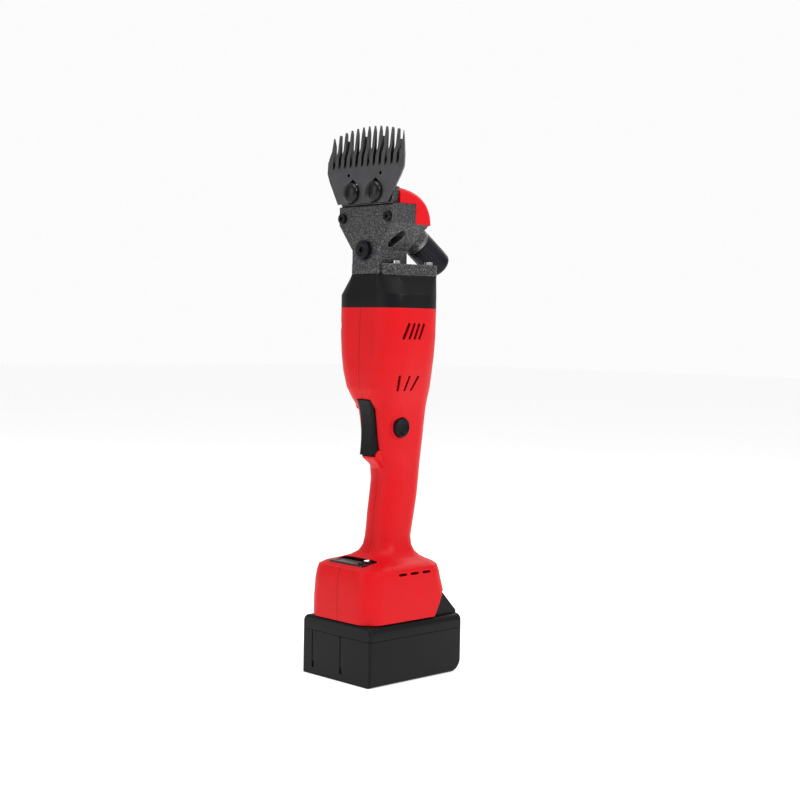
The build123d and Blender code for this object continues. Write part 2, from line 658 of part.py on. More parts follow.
with BuildPart() as tool_terminals:
    for slot_x in TERMINAL_X:
        with Locations((slot_x, -23.5, 55.4)):
            Box(0.8, 12.0, 16.8)
save(tool_terminals, "tool_terminals")

# ---------------------------------------------------------------- motor

motor_axis = upright(0, MOTOR_Y)

with BuildPart() as motor_can:
    add(cylinder_on(motor_axis, MOTOR_RADIUS, MOTOR_BOTTOM, MOTOR_TOP))
    add(cylinder_on(motor_axis, MOTOR_RADIUS - 1.2, MOTOR_BOTTOM - 1, MOTOR_TOP - 1.6), mode=Mode.SUBTRACT)
    add(cylinder_on(motor_axis, 3.0, MOTOR_TOP - 2, MOTOR_TOP + 1), mode=Mode.SUBTRACT)
    for screw_x in (-8.0, 8.0):
        add(cylinder_on(upright(screw_x, MOTOR_Y), 1.3, MOTOR_TOP - 2, MOTOR_TOP + 1), mode=Mode.SUBTRACT)
save(motor_can, "motor_can")

with BuildPart() as motor_end_cap:
    add(cylinder_on(motor_axis, MOTOR_RADIUS, MOTOR_BOTTOM - 3.5, MOTOR_BOTTOM))
    add(cylinder_on(motor_axis, 3.0, MOTOR_BOTTOM - 4, MOTOR_BOTTOM + 1), mode=Mode.SUBTRACT)
    for tag_x in (-11.0, 11.0):
        with Locations((tag_x, MOTOR_Y, MOTOR_BOTTOM - 6)):
            Box(0.8, 4.8, 6.0)
save(motor_end_cap, "motor_end_cap")

with BuildPart() as motor_bushings:
    add(tube_on(motor_axis, 3.0, MOTOR_SHAFT_R + RUNNING_GAP, MOTOR_TOP - 3, MOTOR_TOP + 1.6))
    add(tube_on(motor_axis, 3.0, MOTOR_SHAFT_R + RUNNING_GAP, MOTOR_BOTTOM - 4.4, MOTOR_BOTTOM))
save(motor_bushings, "motor_bushings")

with BuildPart() as motor_magnets:
    for side_x in (-1, 1):
        with BuildPart(mode=Mode.PRIVATE) as magnet:
            add(tube_on(motor_axis, MOTOR_RADIUS - 1.2, MOTOR_RADIUS - 3.2, 208, 243))
            with Locations((side_x * (-MOTOR_RADIUS + 8.0), MOTOR_Y, 225)):
                Box(2 * MOTOR_RADIUS, 2 * MOTOR_RADIUS, 60, mode=Mode.SUBTRACT)
        add(magnet.part)
save(motor_magnets, "motor_magnets")

with BuildPart() as motor_shaft:
    add(cylinder_on(motor_axis, MOTOR_SHAFT_R, MOTOR_BOTTOM - 4.6, 262.6))
save(motor_shaft, "motor_shaft")

with BuildPart() as motor_rotor:
    with BuildSketch(motor_axis.offset(210)):
        Circle(14.0)
        with PolarLocations(12.2, 5):
            Rectangle(4.4, 1.6, mode=Mode.SUBTRACT)
        Circle(MOTOR_SHAFT_R, mode=Mode.SUBTRACT)
    extrude(amount=30)
    add(tube_on(motor_axis, 4.5, MOTOR_SHAFT_R, 204.5, 210))
save(motor_rotor, "motor_rotor")

with BuildPart() as motor_fan:
    add(tube_on(motor_axis, 14.5, MOTOR_SHAFT_R, 244.0, 245.0))
    add(tube_on(motor_axis, 4.0, MOTOR_SHAFT_R, 241.0, 248.6))
    with BuildSketch(motor_axis.offset(245.0)):
        with PolarLocations(9.0, 9):
            Rectangle(10.6, 0.9)
    extrude(amount=3.4)
save(motor_fan, "motor_fan")

with BuildPart() as motor_plate:
    extrude(body_outline(MOTOR_TOP, *section_at(MOTOR_TOP)[1:], inset=HOUSING_WALL + 0.5), amount=2.8)
    add(cylinder_on(motor_axis, 3.1, MOTOR_TOP - 1, MOTOR_TOP + 4), mode=Mode.SUBTRACT)
    for x, y in [(-8.0, MOTOR_Y), (8.0, MOTOR_Y)]:
        add(cylinder_on(upright(x, y), 1.55, MOTOR_TOP - 1, MOTOR_TOP + 4), mode=Mode.SUBTRACT)
    for x, y in FLANGE_SCREWS:
        add(cylinder_on(upright(x, y), 1.75, MOTOR_TOP - 1, MOTOR_TOP + 4), mode=Mode.SUBTRACT)
save(motor_plate, "motor_plate")

with BuildPart() as motor_plate_screws:
    for screw_x in (-8.0, 8.0):
        add(cylinder_on(upright(screw_x, MOTOR_Y), 1.25, MOTOR_TOP - 2.5, MOTOR_PLATE_TOP))
        add(cylinder_on(upright(screw_x, MOTOR_Y), 2.4, MOTOR_PLATE_TOP, MOTOR_PLATE_TOP + 1.4))
save(motor_plate_screws, "motor_plate_screws")

with BuildPart() as motor_pinion:
    extrude(gear_outline(PINION_TEETH, -90.0, motor_axis.offset(256.2)), amount=6.2)
    add(cylinder_on(motor_axis, MOTOR_SHAFT_R, 250, 270), mode=Mode.SUBTRACT)
save(motor_pinion, "motor_pinion")

# ---------------------------------------------------------------- crank and its bearings

crank_axis = upright(0, CRANK_Y)
TAIL_LENGTH = 14.57       # from the fork's pivot to the roller
pin_x = -TAIL_LENGTH * sin(radians(FORK_REST_ANGLE))
pin_y = CRANK_Y + sqrt(CRANK_THROW**2 - pin_x**2)

with BuildPart() as drive_gear:
    extrude(gear_outline(GEAR_TEETH, 90.0 + 180.0 / GEAR_TEETH, crank_axis.offset(256.9)), amount=5.2)
    add(cylinder_on(crank_axis, 5.0, 262.1, 263.3))
    add(cylinder_on(crank_axis, CRANK_SHAFT_R, 250, 270), mode=Mode.SUBTRACT)
save(drive_gear, "drive_gear")

with BuildPart() as crankshaft:
    add(cylinder_on(crank_axis, CRANK_SHAFT_R, 256.0, 277.4))
    add(cylinder_on(crank_axis, 5.0, 277.4, 279.6))
    add(cylinder_on(upright(pin_x, pin_y), CRANK_PIN_R, 279.6, 286.8))
save(crankshaft, "crankshaft")

with BuildPart() as crank_roller:
    add(tube_on(upright(pin_x, pin_y), ROLLER_RADIUS, CRANK_PIN_R + RUNNING_GAP, *ROLLER_Z))
save(crank_roller, "crank_roller")

with BuildPart() as bearing_outer_rings:
    for base in BEARING_Z:
        add(tube_on(crank_axis, BEARING_R, 5.3, base, base + BEARING_HEIGHT))
save(bearing_outer_rings, "bearing_outer_rings")

with BuildPart() as bearing_inner_rings:
    for base in BEARING_Z:
        add(tube_on(crank_axis, 4.1, CRANK_SHAFT_R, base, base + BEARING_HEIGHT))
save(bearing_inner_rings, "bearing_inner_rings")

# ---------------------------------------------------------------- collar and gear head casting

with BuildPart() as collar:
    top_row = HOUSING_SECTIONS[-1]
    shoulder = (COLLAR_SHOULDER, *top_row[1:])
    extrude(body_outline(*top_row), amount=COLLAR_SHOULDER - HOUSING_TOP)
    loft(sections=[body_outline(*shoulder), flange_outline(COLLAR_TOP)], ruled=True)
    extrude(
        body_outline(HOUSING_TOP - 1, *top_row[1:], inset=COLLAR_WALL),
        amount=COLLAR_SHOULDER - HOUSING_TOP + 1, mode=Mode.SUBTRACT,
    )
    loft(
        sections=[body_outline(*shoulder, inset=COLLAR_WALL), flange_outline(COLLAR_TOP - 2.4, inset=2.4)],
        ruled=True, mode=Mode.SUBTRACT,
    )
    with BuildPart(mode=Mode.PRIVATE) as rim:
        extrude(body_outline(MOTOR_PLATE_TOP, *top_row[1:], inset=HOUSING_WALL + 0.3), amount=6.0)
        extrude(
            body_outline(MOTOR_PLATE_TOP, *top_row[1:], inset=HOUSING_WALL + 2.0),
            amount=6.0, mode=Mode.SUBTRACT,
        )
    add(rim.part)
    for x, y in FLANGE_SCREWS:
        add(cylinder_on(upright(x, y), 3.2, MOTOR_PLATE_TOP, COLLAR_TOP))
        add(cylinder_on(upright(x, y), 1.75, MOTOR_PLATE_TOP - 1, COLLAR_TOP + 1), mode=Mode.SUBTRACT)
    add(cylinder_on(crank_axis, 8.9, 270, COLLAR_TOP + 1), mode=Mode.SUBTRACT)
save(collar, "collar")


def head_rectangle(z, half_x, back):
    """Plan of the casting at height z, from its front face to the given back."""
    with BuildSketch(Plane.XY.offset(z)) as plan:
        with Locations((0, (HEAD_FRONT + back) / 2)):
            Rectangle(2 * half_x, back - HEAD_FRONT)
    return plan.sketch


def front_outline(y, points):
    """Outline facing the front at the given Y, from the (X, Z) points of its right half."""
    left = [(-x, z) for x, z in reversed(points)]
    with BuildSketch(Plane.XZ.offset(-y)) as outline:
        Polygon(*points, *left, align=None)
    return outline.sketch


def core_profile(inset):
    """Side outline of the head under its guard, pulled in by inset."""
    return [
        (-9.3, 315), (-9.3, 339.6 - inset), (-4.0, 340.3 - inset), (4.6, 337.2 - inset),
        (11.2 - inset / 2, 332.0 - inset), (14.9 - inset, 324.6), (15.8 - inset, 315),
    ]


with BuildPart() as gear_head_casting:
    extrude(flange_outline(COLLAR_TOP), amount=FLANGE_TOP - COLLAR_TOP)
    add(cylinder_on(crank_axis, 8.7, 263.0, COLLAR_TOP))
    extrude(head_rectangle(FLANGE_TOP - 1, NECK_HALF_X, NECK_BACK), amount=NECK_TOP - FLANGE_TOP + 1)
    loft(
        sections=[
            head_rectangle(NECK_TOP, NECK_HALF_X, NECK_BACK),
            head_rectangle(BLOCK_BOTTOM, BLOCK_HALF_X, 11.6),
        ],
        ruled=True,
    )
    extrude(head_rectangle(BLOCK_BOTTOM, BLOCK_HALF_X, BLOCK_STEP_Y), amount=BLOCK_TOP - BLOCK_BOTTOM)
    extrude(side_profile(core_profile(GUARD_WALL + 0.5)), amount=24.6, both=True)
    add(cylinder_on(tension_plane, BOSS_RADIUS, -30.0, 0.0))
    with Locations((0, HEAD_FRONT - 10, 300)):
        Box(100, 20, 60, mode=Mode.SUBTRACT)
    # chamber of the fork, open at the front under the plate
    with Locations((0, (HEAD_FRONT - 4.8) / 2 - 0.5, (CHAMBER_FLOOR + 297) / 2)):
        Box(21.6, -4.8 - HEAD_FRONT + 1, 297 - CHAMBER_FLOOR, mode=Mode.SUBTRACT)
    extrude(
        front_outline(HEAD_FRONT - 1, [(10.8, 296), (10.8, 299), (22.4, 316), (22.4, BLOCK_TOP + 1)]),
        amount=9.3 + HEAD_FRONT - 1, mode=Mode.SUBTRACT,
    )
    add(cylinder_on(crank_axis, BEARING_R, 262, 276.6), mode=Mode.SUBTRACT)
    add(cylinder_on(crank_axis, 5.6, 262, COLLAR_TOP + 1), mode=Mode.SUBTRACT)
    # comb bed
    with Locations((0, (HEAD_FRONT - 17.4) / 2, 327.5)):
        Box(50.0, -17.4 - HEAD_FRONT, 8.0)
    with BuildSketch(comb_plane.offset(-COMB_THICKNESS)):
        Polygon((25.5, -19.4), (26.7, -7.6), (-26.7, -7.6), (-25.5, -19.4), align=None)
    extrude(amount=-5.6)
    for u in (-COMB_SCREW_U, COMB_SCREW_U):
        with BuildPart(mode=Mode.PRIVATE) as thread:
            with BuildSketch(comb_plane.offset(1)):
                with Locations((u, COMB_SCREW_V)):
                    Circle(2.55)
            extrude(amount=-14)
        add(thread.part, mode=Mode.SUBTRACT)
    for x in (-23.0, 23.0):
        with BuildSketch(Plane.XZ.offset(-HEAD_FRONT)):
            with Locations((x, 321.5)):
                Circle(1.55)
        extrude(amount=-11, mode=Mode.SUBTRACT)
    for x, y in FLANGE_SCREWS:
        add(cylinder_on(upright(x, y), 1.8, COLLAR_TOP - 1, FLANGE_TOP + 1), mode=Mode.SUBTRACT)
    add(cylinder_on(pivot_plane, POST_RADIUS, -27.0, -15.0), mode=Mode.SUBTRACT)
    add(cylinder_on(tension_plane, TENSION_PIN_R + RUNNING_GAP, -60, 1), mode=Mode.SUBTRACT)
    add(cylinder_on(tension_plane, 4.55, -16, 1), mode=Mode.SUBTRACT)
    # oil slots through the sloping sides
    for start in (-30.0, 10.9):
        with BuildSketch(crosswise(-11.6, 306.6).offset(start)):
            with Locations(Rotation(0, 0, 48)):
                SlotOverall(13.2, 6.8)
        extrude(amount=19.1, mode=Mode.SUBTRACT)
save(gear_head_casting, "gear_head_casting")

with BuildPart() as flange_screws:
    for x, y in FLANGE_SCREWS:
        add(cylinder_on(upright(x, y), 1.7, MOTOR_TOP + 0.3, FLANGE_TOP))
        add(cylinder_on(upright(x, y), 2.9, FLANGE_TOP, FLANGE_TOP + 2.2))
        with BuildSketch(upright(x, y).offset(FLANGE_TOP + 2.2)):
            RegularPolygon(1.5, 6)
        extrude(amount=-1.4, mode=Mode.SUBTRACT)
save(flange_screws, "flange_screws")

with BuildPart() as head_front_plate:
    extrude(
        front_outline(HEAD_FRONT, [(NECK_HALF_X, 282.3), (NECK_HALF_X, 298.8), (27.8, 317.0), (27.8, 329.8)]),
        amount=PLATE_THICKNESS,
    )
    chamfer(head_front_plate.faces().sort_by(Axis.Y)[0].edges(), length=0.6)
    with Locations((0, HEAD_FRONT - PLATE_THICKNESS, 322.6)):
        Box(38.0, 1.0, 1.0, mode=Mode.SUBTRACT)
    for x in (-23.0, 23.0):
        with BuildSketch(Plane.XZ.offset(-HEAD_FRONT)):
            with Locations((x, 321.5)):
                Circle(1.7)
        extrude(amount=PLATE_THICKNESS, mode=Mode.SUBTRACT)
    add(cylinder_on(pivot_plane, POST_RADIUS, -12.0, 0.0), mode=Mode.SUBTRACT)
save(head_front_plate, "head_front_plate")

with BuildPart() as front_plate_screws:
    for x in (-23.0, 23.0):
        face = Plane.XZ.offset(-HEAD_FRONT + PLATE_THICKNESS)
        with BuildSketch(face):
            with Locations((x, 321.5)):
                Circle(1.5)
        extrude(amount=-12)
        with BuildSketch(face):
            with Locations((x, 321.5)):
                Circle(3.4)
        extrude(amount=2.2)
        with BuildSketch(face.offset(2.2)):
            with Locations((x, 321.5)):
                RegularPolygon(1.7, 6)
        extrude(amount=-1.5, mode=Mode.SUBTRACT)
save(front_plate_screws, "front_plate_screws")

with BuildPart() as fulcrum_post:
    add(cylinder_on(pivot_plane, POST_RADIUS, -26.0, -5.0))
save(fulcrum_post, "fulcrum_post")

with BuildPart() as fulcrum_cap:
    with BuildSketch(pivot_plane.offset(-5.0)):
        Circle(6.6)
        with PolarLocations(6.7, 16):
            Circle(0.55)
    extrude(amount=3.0)
    with BuildSketch(pivot_plane.offset(-2.0)):
        Circle(4.6)
        RegularPolygon(2.2, 6, mode=Mode.SUBTRACT)
    extrude(amount=0.8)
save(fulcrum_cap, "fulcrum_cap")

GUARD_FRONT = -16.5
guard_bottom = BLOCK_BOTTOM + 0.1
with BuildPart() as head_guard:
    with BuildSketch(Plane.YZ):
        with BuildLine():
            Polyline(
                (16.6, guard_bottom), (BLOCK_STEP_Y, guard_bottom), (BLOCK_STEP_Y, BLOCK_TOP + 0.3),
                (GUARD_FRONT, BLOCK_TOP + 0.3), (GUARD_FRONT, 342.0),
            )
            Spline(
                (GUARD_FRONT, 342.0), (-4.0, 340.4), (5.2, 337.0), (12.0, 331.4), (15.6, 324.4),
                (16.6, guard_bottom),
            )
        make_face()
    extrude(amount=27.8, both=True)
    fillet(head_guard.edges().filter_by(GeomType.BSPLINE), radius=6.0)
    extrude(
        side_profile([
            (-20, 312), (-20, 342.2 - GUARD_WALL), (-4.4, 340.6 - GUARD_WALL), (4.5, 337.0 - GUARD_WALL),
            (10.2, 330.0), (13.1, 323.6), (14.1, 312),
        ]),
        amount=25.2, both=True, mode=Mode.SUBTRACT,
    )
    with Locations((0, -12.0, 338)):
        Box(43.0, 10.0, 16.0, mode=Mode.SUBTRACT)
    add(cylinder_on(tension_plane, BOSS_RADIUS + 0.4, -34, 20), mode=Mode.SUBTRACT)
save(head_guard, "head_guard")

# ---------------------------------------------------------------- tension screw

with BuildPart() as tension_sleeve:
    add(tube_on(tension_plane, 4.5, TENSION_PIN_R + RUNNING_GAP, -9.0, 0.0))
    add(tube_on(tension_plane, BOSS_RADIUS, TENSION_PIN_R + RUNNING_GAP, 0.0, 2.6))
    add(tube_on(tension_plane, 7.0, TENSION_PIN_R + RUNNING_GAP, 2.6, 19.0))
save(tension_sleeve, "tension_sleeve")

with BuildPart() as tension_pin:
    add(cylinder_on(tension_plane, TENSION_PIN_R, -40.8, 20.5))
    fillet(tension_pin.edges().filter_by(GeomType.CIRCLE).sort_by(Axis.Y)[0], radius=1.6)
save(tension_pin, "tension_pin")

with BuildPart() as tension_spring:
    add(coil_on(tension_plane, 3.5, 0.45, -15.9, -9.1, 4))
save(tension_spring, "tension_spring")

with BuildPart() as tension_knob:
    add(cylinder_on(tension_plane, KNOB_RADIUS, 3.0, KNOB_LENGTH))
    fillet(tension_knob.edges().filter_by(GeomType.CIRCLE).sort_by(Axis.Y)[-1], radius=3.0)
    add(cylinder_on(tension_plane, 7.05, 2.0, 20.0), mode=Mode.SUBTRACT)
    add(cylinder_on(tension_plane, 2.9, 19.0, 23.0), mode=Mode.SUBTRACT)
    for turn in range(18):
        with BuildPart(mode=Mode.PRIVATE) as flute:
            with BuildSketch(tension_plane.offset(4.5)):
                with PolarLocations(KNOB_RADIUS + 0.6, 1, start_angle=20 * turn):
                    Circle(0.9)
            extrude(amount=18.0)
        add(flute.part, mode=Mode.SUBTRACT)
save(tension_knob, "tension_knob")

# ---------------------------------------------------------------- fork, cutter and comb

with BuildPart() as fork:
    with BuildSketch(fork_plane.offset(-15.5)):
        Circle(8.0)
    extrude(amount=6.3)
    with BuildSketch(fork_plane.offset(-15.5)):
        Polygon((6, 0), (6, 32), (-6, 32), (-6, 0), align=None)
        for side_x in (-1, 1):
            Polygon(
                (side_x * 0.0, 28), (side_x * 6, 28), (side_x * 15, 45), (side_x * 15, 55),
                (side_x * 9.4, 55), (side_x * 9.4, 46), (side_x * 0.0, 34), align=None,
            )
    extrude(amount=5.5)
    for side_x in (-1, 1):
        with BuildSketch(fork_plane.offset(-10.5)):
            with Locations((side_x * 12.2, 51.4)):
                RectangleRounded(5.6, 7.2, 1.5)
        extrude(amount=3.4)
    with BuildSketch(fork_plane.offset(-23.5)):
        with Locations((0, -6.6)):
            Rectangle(2 * PRONG_X + 2.4, 4.2)
        for side_x in (-1, 1):
            with Locations((side_x * PRONG_X, -11.0)):
                Rectangle(2.4, 8.0)
    extrude(amount=11.0)
    with BuildSketch(fork_plane.offset(-15.5)):
        with Locations((0, -6.6)):
            Rectangle(2 * PRONG_X + 2.4, 4.2)
    extrude(amount=5.5)
    with BuildSketch(fork_plane.offset(-30.0)):
        Circle(POST_RADIUS + RUNNING_GAP)
    extrude(amount=30.0, mode=Mode.SUBTRACT)
    for side_x in (-1, 1):
        with BuildSketch(fork_plane.offset(-12.0)):
            with Locations((side_x * 12.2, 51.4)):
                Circle(1.6)
        extrude(amount=12.0, mode=Mode.SUBTRACT)
save(fork, "fork")

with BuildPart() as fork_fingers:
    for side_x in (-1, 1):
        with BuildSketch(fork_plane.offset(-12.0)):
            with Locations((side_x * 12.2, 51.4)):
                Circle(1.6)
        extrude(amount=7.0)
save(fork_fingers, "fork_fingers")


def tip_drop(u):
    """How far a tooth's tip stands below the middle tooth's, along the curved front of the comb."""
    return 0.00455 * u * u


SIDE_TAPER = 36.0
CUTTER_PITCH = 17.3
CUTTER_HALF = 32.2
CUTTER_TIP = 79.6
cutter_back = -COMB_THICKNESS - CUTTER_GAP - CUTTER_THICKNESS
cutter_outline = [(24, 44.0), (CUTTER_HALF, 55.5), (CUTTER_HALF, 64.0), (27.0, 90.0)]
with BuildPart() as cutter:
    with BuildSketch(fork_plane.offset(cutter_back)):
        Polygon(
            (20, 46.6), (26, 49.5), (CUTTER_HALF, 57), (CUTTER_HALF, 63.5), (-CUTTER_HALF, 63.5),
            (-CUTTER_HALF, 57), (-26, 49.5), (-20, 46.6), align=None,
        )
        for tooth in range(4):
            u = CUTTER_PITCH * (tooth - 1.5)
            tip = CUTTER_TIP - tip_drop(u)
            Polygon(
                (u + 8.0, 63), (u + 3.9, tip - 8.4), (u + 1.8, tip - 4.4), (u + 0.5, tip), (u - 0.5, tip),
                (u - 1.8, tip - 4.4), (u - 3.9, tip - 8.4), (u - 8.0, 63), align=None,
            )
        with Locations((-12.2, 51.4), (12.2, 51.4)):
            Circle(1.9, mode=Mode.SUBTRACT)
    extrude(amount=CUTTER_THICKNESS)
    with BuildSketch(fork_plane.offset(cutter_back + CUTTER_THICKNESS)):
        Polygon(*cutter_outline, *[(-u, v) for u, v in reversed(cutter_outline)], align=None)
    extrude(amount=-CUTTER_THICKNESS, taper=SIDE_TAPER, mode=Mode.INTERSECT)
save(cutter, "cutter")

RAMP_TOP_V = 12.6
TOOTH_BEVEL = 1.2
GAP_WIDTH = 2.7
bed_outline = [(25.6, COMB_HEEL_V), (36.0, -2.2), (39.0, 4.0), (39.0, RAMP_TOP_V)]
comb_outline = bed_outline + [(36.6, 30.0), (36.6, 60.0)]
with BuildPart() as comb:
    with BuildSketch(comb_plane):
        Polygon(*bed_outline, *[(-u, v) for u, v in reversed(bed_outline)], align=None)
        for tooth in range(COMB_TEETH):
            u = TOOTH_PITCH * (tooth - (COMB_TEETH - 1) / 2)
            outer_right = 1.3 if tooth == COMB_TEETH - 1 else 0.0
            outer_left = 1.3 if tooth == 0 else 0.0
            tip = COMB_TIP_V - tip_drop(u)
            root = (TOOTH_PITCH - GAP_WIDTH) / 2
            Polygon(
                (u + root + outer_right, RAMP_TOP_V - 1), (u + 0.95 + outer_right / 2, tip - 9),
                (u + 0.25, tip), (u - 0.25, tip), (u - 0.95 - outer_left / 2, tip - 9),
                (u - root - outer_left, RAMP_TOP_V - 1), align=None,
            )
        for side_x in (-1, 1):
            with Locations((side_x * COMB_SCREW_U, (COMB_SCREW_V + COMB_HEEL_V) / 2 - 1)):
                Rectangle(6.0, COMB_SCREW_V - COMB_HEEL_V + 2, mode=Mode.SUBTRACT)
            with Locations((side_x * COMB_SCREW_U, COMB_SCREW_V)):
                Circle(3.0, mode=Mode.SUBTRACT)
            Polygon(
                (side_x * COMB_SCREW_U + 5.2, COMB_SCREW_V + 5.9), (side_x * COMB_SCREW_U, -1.4),
                (side_x * COMB_SCREW_U - 5.2, COMB_SCREW_V + 5.9), align=None, mode=Mode.SUBTRACT,
            )
            with Locations((side_x * 16.3, 1.3)):
                Circle(1.3, mode=Mode.SUBTRACT)
    extrude(amount=-COMB_THICKNESS)
    # ramps at the roots of the gaps, then the teeth bevelled on the skin side and thinned at their tips
    for gap in range(COMB_TEETH - 1):
        middle = TOOTH_PITCH * (gap - (COMB_TEETH - 2) / 2)
        ramp_plane = Plane(origin=comb_plane.from_local_coords(Vector(middle - GAP_WIDTH / 2, 0, 0)),
                           x_dir=comb_plane.y_dir, z_dir=(1, 0, 0))
        with BuildSketch(ramp_plane):
            Polygon((COMB_ROOT_V, 0.3), (RAMP_TOP_V + 0.2, -COMB_THICKNESS - 0.3),
                    (RAMP_TOP_V + 0.2, 0.3), align=None)
        extrude(amount=GAP_WIDTH, mode=Mode.SUBTRACT)
    with BuildSketch(Plane(origin=comb_plane.from_local_coords(Vector(-50, 0, 0)),
                           x_dir=comb_plane.y_dir, z_dir=(1, 0, 0))):
        Polygon(
            (30.0, -COMB_THICKNESS - 0.1), (45, -COMB_THICKNESS - 0.1), (45, 0), (36, -2.4), align=None,
        )
        Polygon(
            (14.0, 0.1), (20.0, -TOOTH_BEVEL), (30.0, -TOOTH_BEVEL), (45, -2.4), (45, 0.1), align=None,
        )
    extrude(amount=100, mode=Mode.SUBTRACT)
    # the sides lean in towards the cutter
    with BuildSketch(comb_plane):
        Polygon(*comb_outline, *[(-u, v) for u, v in reversed(comb_outline)], align=None)
    extrude(amount=-COMB_THICKNESS, taper=SIDE_TAPER, mode=Mode.INTERSECT)
save(comb, "comb")

with BuildPart() as comb_screws:
    for u in (-COMB_SCREW_U, COMB_SCREW_U):
        with BuildPart(mode=Mode.PRIVATE) as screw:
            with BuildSketch(comb_plane.offset(-9.0)):
                with Locations((u, COMB_SCREW_V)):
                    Circle(2.5)
            extrude(amount=9.0)
            with BuildSketch(comb_plane):
                with Locations((u, COMB_SCREW_V)):
                    Circle(COMB_SCREW_HEAD_R)
            extrude(amount=COMB_SCREW_DOME)
            fillet(screw.edges().filter_by(GeomType.CIRCLE).sort_by(Axis.Y)[0], radius=COMB_SCREW_DOME - 0.4)
            with BuildSketch(comb_plane.offset(COMB_SCREW_DOME)):
                with Locations((u, COMB_SCREW_V)):
                    Rectangle(1.5, 3 * COMB_SCREW_HEAD_R)
            extrude(amount=-1.6, mode=Mode.SUBTRACT)
        add(screw.part)
save(comb_screws, "comb_screws")
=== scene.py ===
import bmesh
import bpy
import json
import math
from mathutils import Matrix, Vector


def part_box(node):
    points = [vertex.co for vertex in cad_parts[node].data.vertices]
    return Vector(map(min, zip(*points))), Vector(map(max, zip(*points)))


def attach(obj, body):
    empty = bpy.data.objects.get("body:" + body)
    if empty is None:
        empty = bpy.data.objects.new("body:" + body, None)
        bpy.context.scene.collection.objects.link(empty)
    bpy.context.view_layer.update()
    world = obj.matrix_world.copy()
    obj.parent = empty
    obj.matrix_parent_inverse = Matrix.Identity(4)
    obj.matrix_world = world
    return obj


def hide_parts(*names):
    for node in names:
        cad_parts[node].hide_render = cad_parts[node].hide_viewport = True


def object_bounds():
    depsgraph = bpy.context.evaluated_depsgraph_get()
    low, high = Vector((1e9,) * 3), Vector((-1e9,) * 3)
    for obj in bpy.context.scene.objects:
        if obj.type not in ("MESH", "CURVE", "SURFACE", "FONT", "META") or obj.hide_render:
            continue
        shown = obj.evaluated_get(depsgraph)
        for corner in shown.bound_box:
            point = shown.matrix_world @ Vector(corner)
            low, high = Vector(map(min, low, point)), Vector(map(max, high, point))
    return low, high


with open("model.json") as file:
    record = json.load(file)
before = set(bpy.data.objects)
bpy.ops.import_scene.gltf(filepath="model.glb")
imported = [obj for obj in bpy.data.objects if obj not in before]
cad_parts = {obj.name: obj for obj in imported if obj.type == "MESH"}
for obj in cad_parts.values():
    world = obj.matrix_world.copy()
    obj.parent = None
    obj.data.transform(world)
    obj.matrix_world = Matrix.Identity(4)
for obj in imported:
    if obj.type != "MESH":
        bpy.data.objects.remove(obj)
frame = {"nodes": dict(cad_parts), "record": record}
nodes = frame["nodes"]
cad_low, cad_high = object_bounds()
MM = 0.001


# ---------------------------------------------------------------- node helpers

def new_material(name):
    """A material with an empty Principled shader. Returns the material, its tree and the shader."""
    material = bpy.data.materials.new(name)
    material.use_nodes = True
    tree = material.node_tree
    return material, tree, tree.nodes["Principled BSDF"]


def add_node(tree, kind, inputs=None, **settings):
    """One shader node. An input is a socket to link or a value to set."""
    node = tree.nodes.new(kind)
    for name, value in settings.items():
        setattr(node, name, value)
    for name, value in (inputs or {}).items():
        if isinstance(value, bpy.types.NodeSocket):
            tree.links.new(value, node.inputs[name])
        else:
            node.inputs[name].default_value = value
    return node


def object_coords(tree, stretch=(1, 1, 1)):
    """Coordinates in metres that ride with the piece, stretched along the axes."""
    coords = add_node(tree, "ShaderNodeTexCoord")
    mapping = add_node(tree, "ShaderNodeMapping", {"Vector": coords.outputs["Object"]})
    mapping.inputs["Scale"].default_value = stretch
    return mapping.outputs["Vector"]


def noise(tree, coords, per_metre, detail=2.0, roughness=0.5):
    node = add_node(tree, "ShaderNodeTexNoise", {
        "Vector": coords, "Scale": per_metre, "Detail": detail, "Roughness": roughness})
    return node.outputs["Fac"]


def ramp(tree, value, stops, smooth=False):
    """Colour ramp. stops is a list of (position, colour) pairs."""
    node = add_node(tree, "ShaderNodeValToRGB", {"Fac": value})
    if smooth:
        node.color_ramp.interpolation = "EASE"
    marks = node.color_ramp.elements
    while len(marks) < len(stops):
        marks.new(0.5)
    for mark, (position, colour) in zip(marks, stops):
        mark.position = position
        mark.color = (*colour, 1.0) if len(colour) == 3 else colour
    return node.outputs["Color"]


def grey(value):
    return (value, value, value)


def tinted(colour, factor):
    return tuple(min(1.0, channel * factor) for channel in colour)


def maths(tree, operation, a, b=0.0, clamp=False):
    node = add_node(tree, "ShaderNodeMath", {0: a, 1: b}, operation=operation, use_clamp=clamp)
    return node.outputs[0]


def mix_colour(tree, share, a, b, blend="MIX"):
    node = add_node(tree, "ShaderNodeMix", data_type="RGBA", blend_type=blend)
    for index, value in ((0, share), (6, a), (7, b)):
        if isinstance(value, bpy.types.NodeSocket):
            tree.links.new(value, node.inputs[index])
        else:
            if index and len(value) == 3:
                value = (*value, 1.0)
            node.inputs[index].default_value = value
    return node.outputs[2]


def rounded_normal(tree, radius):
    """Normal that rounds the sharp edges of a solid."""
    return add_node(tree, "ShaderNodeBevel", {"Radius": radius}, samples=6).outputs["Normal"]


def edge_mask(tree, rounded, gain=7.0):
    """1 along the edges of the solid and 0 on its flat faces."""
    geometry = add_node(tree, "ShaderNodeNewGeometry")
    dot = add_node(tree, "ShaderNodeVectorMath", {0: rounded, 1: geometry.outputs["Normal"]},
                   operation="DOT_PRODUCT")
    turned = maths(tree, "SUBTRACT", 1.0, dot.outputs["Value"])
    return maths(tree, "MULTIPLY", turned, gain, clamp=True)


